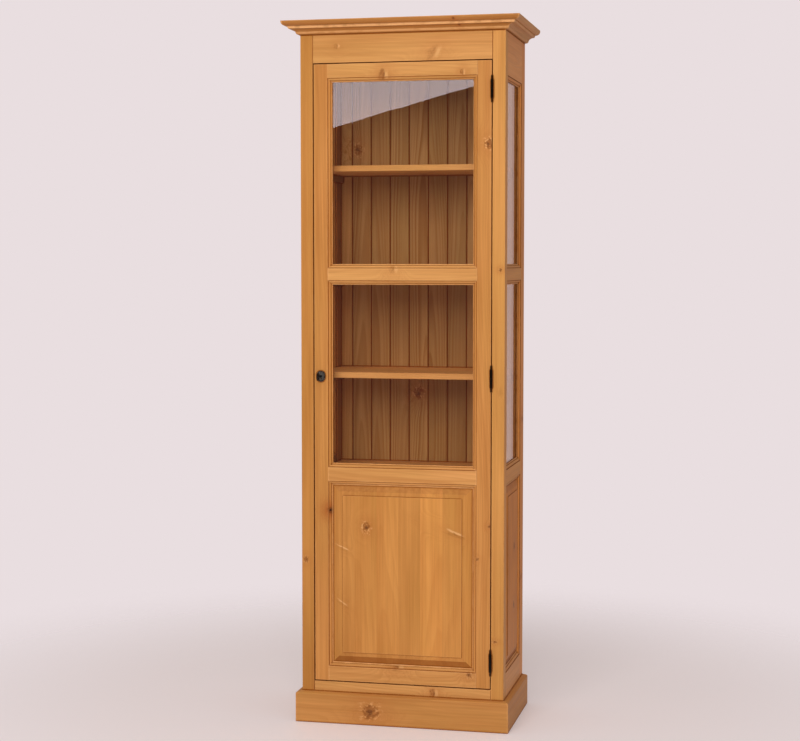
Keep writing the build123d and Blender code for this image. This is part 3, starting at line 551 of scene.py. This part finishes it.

# Knots in the front lie where the photograph shows its larger ones; those elsewhere are guesses.
# Rails have paler, less saturated tones and tints than the posts and stiles: partly their own colour, partly
# painted sheen.
boards = {
    "post_front_left": Pine(
        Z, X, (0.09, 0.02), 0.98, tint=(0.91, 0.87, 0.76), figure=0.24,
        knots=[knot(470, -282, 8, darkness=0.8)],
    ),
    "post_front_right": Pine(
        Z, X, (-0.07, 0.05), 1.04, tint=(1.02, 1.05, 1.12), figure=0.26,
        knots=[knot(1302, 281, 5, 1.0, darkness=1.2), knot(256, 269.5, 7, 0.6, paleness=0.8),
               knot(962, 283, 10, 2.0, darkness=0.15, paleness=0.1)],
    ),
    "frieze_rail": Pine(
        X, Z, (1.86, 0.04), 1.04, tint=(1.0, 1.07, 1.3), figure=0.2,
        knots=[knot(-186, 1930, 9, 0.9, 0.4, spike=1.0), knot(93, 1905, 22, 0.8, 0.4, spike=1.0, slant=-0.4)],
    ),
    "front_bottom_rail": Pine(
        X, Z, (0.03, 0.03), 1.0, tint=(1.05, 1.15, 1.4), knots=[knot(95, 100, 16, 0.7, 0.9, spike=1.0)],
    ),
    "door_stile_lock": Pine(
        Z, X, (-0.30, 0.03), 1.0, wear=0.35, tint=(0.97, 0.93, 0.95), figure=0.24,
        knots=[knot(615, -207, 11, 1.0, darkness=3.0, paleness=0.0)],
    ),
    "door_stile_hinge": Pine(
        Z, X, (0.16, 0.02), 1.0, wear=0.35, tint=(0.98, 0.95, 0.99), figure=0.26,
        knots=[knot(1651, 248, 13, 1.1, paleness=0.9), knot(583, 252, 5, 1.0, darkness=1.2),
               knot(489, 218, 5, darkness=0.7)],
    ),
    "door_top_rail": Pine(
        X, Z, (1.80, 0.03), 1.02, wear=0.5, tint=(1.05, 1.15, 1.4), figure=0.24,
        knots=[knot(-51, 1847, 17, 0.75, 0.9, spike=1.0), knot(174, 1850, 10, 0.7, 0.8, spike=1.0)],
    ),
    "door_mid_rail": Pine(
        X, Z, (1.33, 0.02), 1.03, wear=0.5, tint=(1.05, 1.16, 1.42), figure=0.2,
        knots=[knot(-23, 1303, 14, 0.8, 0.4, spike=1.0)],
    ),
    "door_lock_rail": Pine(X, Z, (0.68, 0.03), 1.0, wear=0.5, tint=(1.12, 1.18, 1.49)),
    "door_bottom_rail": Pine(
        X, Z, (0.20, 0.03), 0.98, wear=0.6, tint=(1.06, 1.12, 1.32),
        knots=[knot(-12, 171, 12, 1.5, 0.8, spike=1.0), knot(195.5, 158, 10, 1.0)],
    ),
    # faces of the panel that look down, such as its lower bevels, get painted shade
    "door_panel": Pine(
        Z, X, (0.0, 0.04), 1.0, stave=(-10.0, 64.0), tint=(1.02, 0.99, 0.93), figure=0.2, downward_shade=0.65,
        stave_tones=(-3, [0.91, 0.95, 0.98, 0.93, 1.08, 0.97, 1.0]),
        knots=[knot(569, -104, 12, paleness=0.6),
               knot(506, -174, 24, 0.22, darkness=0.15, paleness=0.8, spike=1.0, slant=0.37),
               knot(346, -175, 22, 0.3, darkness=0.15, paleness=0.7, spike=1.0, slant=0.6),
               knot(558, 153, 30, 0.28, darkness=0.4, paleness=0.8, spike=1.0, slant=0.34)],
    ),
    "plinth_front": Pine(
        X, Z, (0.0, 0.03), 1.0, wear=0.2, tint=(0.935, 0.935, 1.02),
        knots=[knot(-89, 41, 22, 1.2, paleness=0.45)],
    ),
    "cornice_front": Pine(
        X, Z, (1.97, 0.06), 0.79, wear=0.45, tint=(0.99, 0.9, 0.88), figure=0.2, downward_shade=0.0,
        # the fillet and the bead are rubbed pale and carry a painted highlight
        bands=[(*FILLET, 1.0), (*CORNICE_BEAD, 0.5)],
        knots=[knot(155, 1992, 4, 1.1, 1.6, 0.0), knot(167, 1978, 3.5, 1.1, 1.5, 0.0)],
    ),
    "top_board": Pine(
        X, Y, (0.0, 1.95), 0.98, stave=(-148, 90.0), knots=[knot(-120, -30, 14), knot(160, 90, 11, 1.3)],
    ),
    "bottom_board": Pine(X, Y, (0.0, 0.09), 1.0, stave=(-148, 95.0)),
    "door_stop": Pine(X, Z, (1.82, -0.09), 0.95),
    "back_rail_top": Pine(X, Z, (1.9, 0.14), 0.9, wear=0.0, knots=[knot(120, 1900, 12)]),
    "back_rail_bottom": Pine(X, Z, (0.02, 0.14), 0.9, wear=0.0),
    "back_boards": Pine(
        Z, X, (0.0, 0.14), 0.85, stave=(-286.5, 58.5), figure=0.9, ring=5.0, wear=0.0,
        tint=(1.0, 1.23, 1.75), stave_tones=(0, [1.03, 0.81, 0.74, 0.71, 0.74, 0.70, 0.64, 0.75, 0.7, 0.78]),
        knots=[knot(1660, -210, 14, 1.3), knot(930, -22, 15), knot(420, 125, 12, 1.3),
               knot(1240, 205, 13, 1.3), knot(240, -150, 11, 1.3)],
    ),
    "shelf_bearers": Pine(Y, Z, (0.0, 0.2), 0.5, tint=(0.95, 1.0, 1.05)),
    "door_beads": Pine(Z, X, (0.1, -0.1), 0.9),
}

# level of the log's middle and tint of the rails of both sides
SIDE_RAILS = {
    "top": (1.9, (1.14, 1.12, 1.35)),
    "mid": (1.33, (1.06, 1.07, 1.2)),
    "lock": (0.66, (1.06, 1.07, 1.2)),
    "bottom": (0.05, (1.06, 1.07, 1.2)),
}

for side, sign in SIDES.items():
    boards["post_rear_" + side] = Pine(
        Z, Y, (0.2, sign * 0.24), 0.97, tint=(1.19, 1.06, 1.02), inner=sign,
        knots=[knot(1120 - 260 * sign, 168, 12), knot(300 + 90 * sign, 160, 9, 1.4)],
    )
    boards["cornice_" + side] = Pine(
        Y, Z, (1.97, sign * 0.25), 0.9, wear=0.8, tint=(1.06, 1.18, 1.7), downward_shade=0.0,
        # the fillet is rubbed pale and carries a painted highlight
        bands=[(*FILLET, 0.4)],
    )
    boards["plinth_" + side] = Pine(Y, Z, (0.0, sign * 0.25), 0.87, wear=0.2, tint=(1.0, 0.94, 0.66))
    # faces of the side panels that look down get painted shade
    boards["side_panel_" + side] = Pine(
        Z, Y, (0.0, sign * 0.24), 0.97, stave=(-30, 70.0), tint=(0.98, 0.8, 0.5), inner=sign, downward_shade=0.6,
        knots=[knot(560 - 60 * sign, 40, 14), knot(330, 95 - 60 * sign, 12)],
    )
    for rail, (level, tint) in SIDE_RAILS.items():
        boards[f"side_{rail}_rail_{side}"] = Pine(Y, Z, (level, sign * 0.24), 1.0, tint=tint, inner=sign)
    boards["side_beads_" + side] = Pine(Z, Y, (0.1, sign * 0.2), 0.9)

for name in nodes:
    if name.startswith("shelf_") and name not in boards:
        low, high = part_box(name)
        pith = (0.02, (low.z + high.z) / 2 - 50 * MM)
        boards[name] = Pine(X, Y, pith, 1.15, wear=0.7, stave=(-88, 90.0), tint=(1.08, 1.23, 1.6))

# ---------------------------------------------------------------- glass and metals

GLASS_MIRROR = 0.04             # share of the light that glass mirrors, seen straight on
GLASS_GRAZE = 5.0               # how late towards grazing angles that grows
GLASS_REPEATS = 7.0             # in a metre, of the waves in the glass
METAL_REPEATS = 260.0           # in a metre, of the patches on metal
METAL_LIMITS = (0.85, 0.45)     # openness of the metal inside an edge, from dark to rubbed
METAL_PATCHES = (0.3, 0.55, 0.3, 1.0)       # limits of the patches, and the wear below and above them
METAL_UNEVENNESS = (-0.12, 0.13)            # roughness of its smoothest and roughest patches, off the mean


def glass_material():
    """Clear float glass: what it mirrors grows towards grazing angles, the rest passes through."""
    material, g = new_material("float_glass")
    wave = g.noise(g.coordinate("Object"), GLASS_REPEATS, detail=1.0)
    bump = g.add("ShaderNodeBump", {"Height": wave, "Strength": 0.01, "Distance": 10 * MM}).outputs[0]
    facing = g.add("ShaderNodeLayerWeight", {"Blend": 0.5}).outputs["Facing"]
    mirrored = g.math("POWER", facing, GLASS_GRAZE)
    mirrored = g.math("MULTIPLY_ADD", mirrored, 1.0 - GLASS_MIRROR, GLASS_MIRROR)
    through = g.add("ShaderNodeBsdfTransparent", {"Color": GLASS_TINT}).outputs[0]
    mirror = g.add("ShaderNodeBsdfGlossy", {"Roughness": 0.0, "Normal": bump}).outputs[0]
    g.surface(g.add("ShaderNodeMixShader", {0: mirrored, 1: through, 2: mirror}))
    return material


def metal_material(name, dark, worn, roughness, wear, reach=1.6):
    """Aged metal: a dark skin that is rubbed brighter up to reach, in mm, from its edges."""
    material, g = new_material(name)
    patches = g.noise(g.coordinate("Object"), METAL_REPEATS, detail=3.0, roughness=0.6)
    rubbed = g.smooth(g.openness(reach * MM, 6, inside=True), *METAL_LIMITS, 0.0, wear)
    rubbed = g.math("MULTIPLY", rubbed, g.smooth(patches, *METAL_PATCHES))
    smoothest, roughest = METAL_UNEVENNESS
    rough = g.math("MULTIPLY_ADD", patches, roughest - smoothest, roughness + smoothest)
    bump = g.add("ShaderNodeBump", {"Height": patches, "Strength": 0.25, "Distance": 0.3 * MM}).outputs[0]
    g.surface(g.add(
        "ShaderNodeBsdfPrincipled",
        {"Base Color": g.mix(rubbed, colour(dark), colour(worn)), "Metallic": 0.7, "Roughness": rough,
         "Normal": bump},
    ))
    return material


GLASS = glass_material()
HINGE_IRON = metal_material("blackened_iron", "1D1712", "3C342C", 0.5, 0.5)
PLATE_IRON = metal_material("antiqued_plate", "302B28", "B0AAA2", 0.4, 0.9, reach=2.2)
KEY_IRON = metal_material("antiqued_key", "1E1A18", "6E6862", 0.4, 0.8)
LOCK_STEEL = metal_material("lock_steel", "7C766E", "B0ABA2", 0.4, 0.6)

# ---------------------------------------------------------------- dressed pieces

# width of the rounding, and the narrowest face that it reaches
BOARD_EDGE = (0.9 * MM, 4.5 * MM)
HINGE_EDGE = (0.25 * MM, 1.0 * MM)
PLATE_EDGE = (0.35 * MM, 0.9 * MM)

STRIP_WIDTH = 6 * MM            # facets narrower than this belong to a round moulding or edge
JOINT_GAP = 0.3 * MM            # an edge this near another piece lies against it
WIDE_SHARE = 0.6                # a wide face's mean width, as a share of the narrowest that is rounded
SAME_POINT = 0.01 * MM          # points this near are one
SLIVER = 0.001 * MM             # shorter edges are removed
FLAT_ANGLE = math.radians(0.5)          # faces that meet at less are one
ROUNDED_ANGLE = math.radians(40)        # sharper outer edges are rounded
SHADED_ANGLE = math.radians(50)         # blunter edges of round faces are shaded smooth
SAMPLE_SHARES = (0.2, 0.5, 0.8)     # where along an edge its neighbours are looked for

body_of = {
    node: body
    for body, members in frame["record"]["behaviour"]["bodies"].items()
    for node in members
}
trees = {
    node: BVHTree.FromPolygons(
        [vertex.co[:] for vertex in shown.data.vertices], [face.vertices[:] for face in shown.data.polygons]
    )
    for node, shown in nodes.items()
}


def neighbours_of(node):
    """Search trees of the nodes whose boxes touch that of a node."""
    low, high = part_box(node)
    found = []
    for other in nodes:
        other_low, other_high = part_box(other)
        if other != node and all(
            other_low[i] < high[i] + MM and low[i] < other_high[i] + MM for i in (X, Y, Z)
        ):
            found.append(trees[other])
    return found


def joined(edge, neighbours):
    """True if most of an edge lies against another piece, as at the shoulder of a joint."""
    first, last = (vertex.co for vertex in edge.verts)
    touching = 0
    for share in SAMPLE_SHARES:
        point = first.lerp(last, share)
        touching += any(tree.find_nearest(point, JOINT_GAP)[0] is not None for tree in neighbours)
    return touching > len(SAMPLE_SHARES) / 2


def crowded(edge, width):
    """True if a recess comes so near an edge that rounding it would cut across the recess."""
    start, end = (vertex.co for vertex in edge.verts)
    length = (end - start).length
    along = (end - start) / length
    for vertex in {vertex for face in edge.link_faces for vertex in face.verts} - set(edge.verts):
        reach = (vertex.co - start).dot(along)
        if width < reach < length - width and (vertex.co - start - along * reach).length < width:
            return True
    return False


def is_outer(edge, width, narrowest, neighbours):
    """True for a free outer edge between two wide faces, which sanding rounds."""
    if len(edge.link_faces) != 2 or edge.calc_length() < narrowest:
        return False
    if edge.calc_face_angle_signed(0.0) < ROUNDED_ANGLE:
        return False
    mean_width = min(face.calc_area() / edge.calc_length() for face in edge.link_faces)
    if mean_width <= narrowest * WIDE_SHARE:
        return False
    return not joined(edge, neighbours) and not crowded(edge, width)


def shade_faces(bm, rounded):
    """Smooth shading on round edges and narrow strips, flat shading on all else."""
    strips = {
        face for face in bm.faces
        if face.calc_area() < STRIP_WIDTH * max(edge.calc_length() for edge in face.edges)
    }
    for face in bm.faces:
        face.smooth = face in rounded or face in strips
    for edge in bm.edges:
        soft = len(edge.link_faces) == 2 and edge.calc_face_angle(0.0) < SHADED_ANGLE
        edge.smooth = soft and any(face.smooth for face in edge.link_faces)


def soften_edges(mesh_data, width, narrowest, neighbours):
    """Round the outer edges between wide faces, as sanding does; joints and small mouldings stay crisp."""
    bm = bmesh.new()
    bm.from_mesh(mesh_data)
    bmesh.ops.remove_doubles(bm, verts=bm.verts, dist=SAME_POINT)
    bmesh.ops.dissolve_limit(bm, angle_limit=FLAT_ANGLE, verts=bm.verts, edges=bm.edges)
    bm.normal_update()
    chosen = [edge for edge in bm.edges if is_outer(edge, width, narrowest, neighbours)]
    made = bmesh.ops.bevel(
        bm, geom=chosen, offset=width, offset_type="OFFSET", segments=2, profile=0.5,
        affect="EDGES", clamp_overlap=False,
    )
    rounded = set(made["faces"])
    bmesh.ops.dissolve_degenerate(bm, dist=SLIVER, edges=bm.edges)
    shade_faces(bm, rounded)
    data = bpy.data.meshes.new(mesh_data.name + "_softened")
    bm.to_mesh(data)
    bm.free()
    return data


def dress(node, material, width, narrowest):
    """Finished copy of a CAD node with softened edges; it stands for that node."""
    data = soften_edges(nodes[node].data, width, narrowest, neighbours_of(node))
    data.materials.append(material)
    piece = bpy.data.objects.new("dressed_" + node, data)
    scene.collection.objects.link(piece)
    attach(piece, body_of[node])
    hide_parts(node)


def assign(node, material):
    """Show a CAD node itself in a material."""
    nodes[node].data.materials.clear()
    nodes[node].data.materials.append(material)


for node in nodes:
    if "beads" in node:
        assign(node, pine_material(node, boards[node]))
    elif node in boards:
        dress(node, pine_material(node, boards[node]), *BOARD_EDGE)
    elif "glass" in node:
        assign(node, GLASS)
    elif node.startswith("hinge"):
        dress(node, HINGE_IRON, *HINGE_EDGE)
    elif node == "escutcheon":
        dress(node, PLATE_IRON, *PLATE_EDGE)
    elif node == "key":
        dress(node, KEY_IRON, *PLATE_EDGE)
    else:
        assign(node, LOCK_STEEL)

# ---------------------------------------------------------------- screws and pins

SINK = 0.2 * MM                 # how deep a head starts in what it holds
SCREW_SLOT = 0.35 * MM          # half the width of a screwdriver slot
HEAD_STEPS = 8                  # facets round half a head
HEAD_PROFILE = ((1.0, 0.25), (0.86, 0.7), (0.55, 1.0))      # shares of a head's radius and height
SLOT_FLOOR = (0.8, 0.12)        # length and level of a slot's floor, as the same shares

# radius and height of the heads
HINGE_SCREW = (2.9 * MM, 0.3 * MM)
STRIKE_SCREW = (2.4 * MM, 0.3 * MM)
LOCK_SCREW = (2.6 * MM, 0.8 * MM)
PLATE_PIN = (1.1 * MM, 0.5 * MM)

# places of the heads
HALF_LEAF = 24 * MM             # half the height of a hinge leaf
LEAF_SCREWS = ((8.0 * MM, 16.5 * MM), (14.5 * MM, 0.0), (8.0 * MM, -16.5 * MM))   # in from the front, up
STRIKE_SCREW_RISES = (-18.0 * MM, 18.0 * MM)
LOCK_SCREW_INSET = 5 * MM
PIN_RISES = (-14.0 * MM, 14.0 * MM)


def turned_head(bm, place, out, radius, height, slot=None):
    """Low domed head on a surface that faces out; slot is (half width, turn) of a screwdriver slot."""
    out = Vector(out)
    level = out.orthogonal().normalized()
    up = out.cross(level)
    half, turn = slot or (0.0, 0.0)
    level, up = (
        level * math.cos(turn) + up * math.sin(turn),
        up * math.cos(turn) - level * math.sin(turn),
    )

    def ring(points, lift):
        return [bm.verts.new(Vector(place) + level * x + up * y + out * lift) for x, y in points]

    def loft(rings):
        for low, high in zip(rings, rings[1:]):
            for i in range(len(low)):
                j = (i + 1) % len(low)
                bm.faces.new((low[i], low[j], high[j], high[i]))
        bm.faces.new(rings[-1])
        bm.faces.new(list(reversed(rings[0])))

    steps = HEAD_STEPS if slot else 2 * HEAD_STEPS
    layers = [(1.0, -SINK)] + [(share, rise * height) for share, rise in HEAD_PROFILE]
    for side in (1, -1) if slot else (1,):
        rings = []
        for share, lift in layers:
            reach = radius * share
            start = math.asin(half / reach) if slot else 0.0
            span = math.pi - 2 * start if slot else 2 * math.pi
            count = steps + 1 if slot else steps
            turns = [start + span * i / steps for i in range(count)]
            points = [(side * reach * math.cos(t), side * reach * math.sin(t)) for t in turns]
            rings.append(ring(points, lift))
        loft(rings)
    if slot:
        reach = radius * SLOT_FLOOR[0]
        floor = [(reach, -half), (reach, half), (-reach, half), (-reach, -half)]
        loft([ring(floor, -SINK), ring(floor, SLOT_FLOOR[1] * height)])


def fasteners(name, body, material, places, out, size, slotted=True):
    """One piece of many small heads on surfaces that face out."""
    chance = random.Random(name)
    bm = bmesh.new()
    for place in places:
        slot = (SCREW_SLOT, chance.uniform(0.0, math.pi)) if slotted else None
        turned_head(bm, place, out, *size, slot)
    bmesh.ops.recalc_face_normals(bm, faces=bm.faces)
    data = bpy.data.meshes.new(name)
    bm.to_mesh(data)
    bm.free()
    data.materials.append(material)
    piece = bpy.data.objects.new(name, data)
    scene.collection.objects.link(piece)
    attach(piece, body)


def add_hinge_screws():
    """Three screws in each leaf, on the edges of the door and the post that face each other."""
    door_low, door_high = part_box("door_stile_hinge")
    post_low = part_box("post_front_right")[0]
    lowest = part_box("hinge_door_leaves")[0].z + HALF_LEAF
    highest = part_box("hinge_frame_leaves")[1].z - HALF_LEAF
    spots = [
        (door_low.y + inward, level + rise)
        for level in (lowest, (lowest + highest) / 2, highest)
        for inward, rise in LEAF_SCREWS
    ]
    fasteners("hinge_screws_door", "door", HINGE_IRON,
              [(door_high.x, y, z) for y, z in spots], (1, 0, 0), HINGE_SCREW)
    fasteners("hinge_screws_frame", "carcase", HINGE_IRON,
              [(post_low.x, y, z) for y, z in spots], (-1, 0, 0), HINGE_SCREW)


def add_lock_screws():
    """Screws of the strike plate and of the lock case."""
    low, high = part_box("strike_plate")
    middle = (low + high) / 2
    fasteners("strike_screws", "carcase", LOCK_STEEL,
              [(high.x, middle.y, middle.z + rise) for rise in STRIKE_SCREW_RISES],
              (1, 0, 0), STRIKE_SCREW)
    low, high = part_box("lock_case")
    places = [
        (x, high.y, z)
        for x in (low.x + LOCK_SCREW_INSET, high.x - LOCK_SCREW_INSET)
        for z in (low.z + LOCK_SCREW_INSET, high.z - LOCK_SCREW_INSET)
    ]
    fasteners("lock_screws", "door", LOCK_STEEL, places, (0, 1, 0), LOCK_SCREW)


def add_plate_pins():
    """Pins in the rim of the escutcheon, above and below the keyhole."""
    low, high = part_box("escutcheon")
    middle = (low + high) / 2
    fasteners("escutcheon_pins", "door", KEY_IRON,
              [(middle.x, low.y, middle.z + rise) for rise in PIN_RISES],
              (0, -1, 0), PLATE_PIN, slotted=False)


add_hinge_screws()
add_lock_screws()
add_plate_pins()

# ---------------------------------------------------------------- floor, light, camera

FLOOR_SIZE = 24.0
FLOOR_DROP = 0.5 * MM           # keeps the floor clear of the faces that stand on it
FLOOR_GLOW = 0.17
FLOOR_CLOUDS = 0.06             # how much paler its palest patches are
CLOUD_REPEATS = 1.5             # in a metre
FLOOR_FADE = (0.75, 2.2)        # distances between which the floor fades away

CARD_Y = -7.0
CARD_OUTLINE = [(-5.0, 1.445), (0.6, 2.935), (0.6, 5.2), (-5.0, 5.2)]       # (x, z) of its corners
CARD_STRENGTH = 6.0

WALL_STRENGTH = 1.0
AMBIENT_STRENGTH = 0.5
BLURRED_STRENGTH, SHARP_STRENGTH = 0.45, 1.05       # of the room in dull and in clear reflections
FRONT_LIMITS, FRONT_SHARE = (-0.15, 0.35), 0.2      # the room is darker where a ray goes to the front

LAMP_PLACE = (0.1, -4.7, 3.1)
LAMP_TARGET = (0.0, 0.0, 1.1)
LAMP_SIZE = (3.0, 2.4)
LAMP_POWER = 129.0
LAMP_TINT = (1.0, 0.99, 0.98)

CAMERA_PLACE = (1.1042, -4.9794, 1.3330)
CAMERA_DIP = 0.0634             # radians below level
CAMERA_TURN = 0.22563           # radians to the left
CAMERA_SENSOR = 36.0            # in mm, as is the lens
CAMERA_LENS = 79.184


def floor_material():
    """Pale floor that fades into the pale background some way off, also in reflections."""
    material, g = new_material("pale_floor")
    place = g.coordinate("Object")
    cloud = g.noise(place, CLOUD_REPEATS)
    rays = g.add("ShaderNodeLightPath").outputs
    solid = g.add(
        "ShaderNodeBsdfPrincipled",
        {"Base Color": g.mix(g.math("MULTIPLY", cloud, FLOOR_CLOUDS), PALE_FLOOR, WHITE), "Roughness": 0.5,
         "Emission Color": PALE_FLOOR,
         "Emission Strength": g.math("MULTIPLY", rays["Is Camera Ray"], FLOOR_GLOW)},
    ).outputs[0]
    clear = g.add("ShaderNodeBsdfTransparent").outputs[0]
    away = g.add("ShaderNodeVectorMath", {0: place}, operation="LENGTH").outputs["Value"]
    seen = g.math("MAXIMUM", rays["Is Camera Ray"], rays["Is Transmission Ray"])
    seen = g.math("MAXIMUM", seen, rays["Is Glossy Ray"])
    fade = g.math("MULTIPLY", g.smooth(away, *FLOOR_FADE), seen)
    g.surface(g.add("ShaderNodeMixShader", {0: fade, 1: solid, 2: clear}))
    return material


def add_floor():
    """Wide floor under the cabinet."""
    bpy.ops.mesh.primitive_plane_add(size=FLOOR_SIZE, location=(0, 0, -FLOOR_DROP))
    floor = bpy.context.object
    floor.name = "studio_floor"
    floor.data.materials.append(floor_material())


def add_bright_card():
    """Bright slanted surface in front of the cabinet, seen only as a reflection in the glass."""
    material, g = new_material("bright_card")
    mirrored = g.add("ShaderNodeLightPath").outputs["Is Singular Ray"]
    strength = g.math("MULTIPLY", mirrored, CARD_STRENGTH)
    g.surface(g.add("ShaderNodeEmission", {"Color": PALE_CARD, "Strength": strength}))
    data = bpy.data.meshes.new("bright_card")
    data.from_pydata([(x, CARD_Y, z) for x, z in CARD_OUTLINE], [], [(0, 1, 2, 3)])
    data.materials.append(material)
    card = bpy.data.objects.new("bright_card", data)
    scene.collection.objects.link(card)
    card.visible_camera = False
    card.visible_diffuse = False
    card.visible_transmission = False
    card.visible_shadow = False


def add_world():
    """Pale wall for the camera, a room that is darker in front for reflections, soft light for the rest."""
    scene.world = bpy.data.worlds.new("studio")
    scene.world.use_nodes = True
    scene.world.node_tree.nodes.clear()
    g = Graph(scene.world.node_tree)

    def background(tint, strength):
        return g.add("ShaderNodeBackground", {"Color": tint, "Strength": strength}).outputs[0]

    def choice(share, first, second):
        return g.add("ShaderNodeMixShader", {0: share, 1: first, 2: second}).outputs[0]

    rays = g.add("ShaderNodeLightPath").outputs
    seen = g.math("MAXIMUM", rays["Is Camera Ray"], rays["Is Transmission Ray"], clamp=True)
    backward = g.split(g.coordinate("Generated"))[Y]
    gain = SHARP_STRENGTH - BLURRED_STRENGTH
    sharp = g.math("MULTIPLY_ADD", rays["Is Singular Ray"], gain, BLURRED_STRENGTH)
    mirrored = g.math("MULTIPLY", g.smooth(backward, *FRONT_LIMITS, FRONT_SHARE, 1.0), sharp)
    unseen = choice(
        rays["Is Glossy Ray"],
        background(AMBIENT_LIGHT, AMBIENT_STRENGTH),
        background(MIRRORED_ROOM, mirrored),
    )
    total = choice(seen, unseen, background(PALE_WALL, WALL_STRENGTH))
    g.add("ShaderNodeOutputWorld", {"Surface": total})


def add_lamp():
    """Large soft lamp in front of the cabinet and above it, unseen in reflections."""
    lamp = bpy.data.lights.new("studio_lamp", "AREA")
    lamp.shape = "RECTANGLE"
    lamp.size, lamp.size_y = LAMP_SIZE
    lamp.energy = LAMP_POWER
    lamp.color = LAMP_TINT
    lamp_object = bpy.data.objects.new("studio_lamp", lamp)
    scene.collection.objects.link(lamp_object)
    lamp_object.location = LAMP_PLACE
    aim = Vector(LAMP_TARGET) - Vector(LAMP_PLACE)
    lamp_object.rotation_euler = aim.to_track_quat("-Z", "Y").to_euler()
    lamp_object.visible_glossy = False


def add_camera():
    """Camera that sees the cabinet as the photograph does."""
    camera = bpy.data.cameras.new("camera")
    camera.sensor_width = CAMERA_SENSOR
    camera.lens = CAMERA_LENS
    camera_object = bpy.data.objects.new("camera", camera)
    scene.collection.objects.link(camera_object)
    camera_object.location = CAMERA_PLACE
    camera_object.rotation_euler = (math.pi / 2 - CAMERA_DIP, 0.0, CAMERA_TURN)
    scene.camera = camera_object


add_floor()
add_bright_card()
add_world()
add_lamp()
add_camera()
scene.view_settings.view_transform = "Standard"
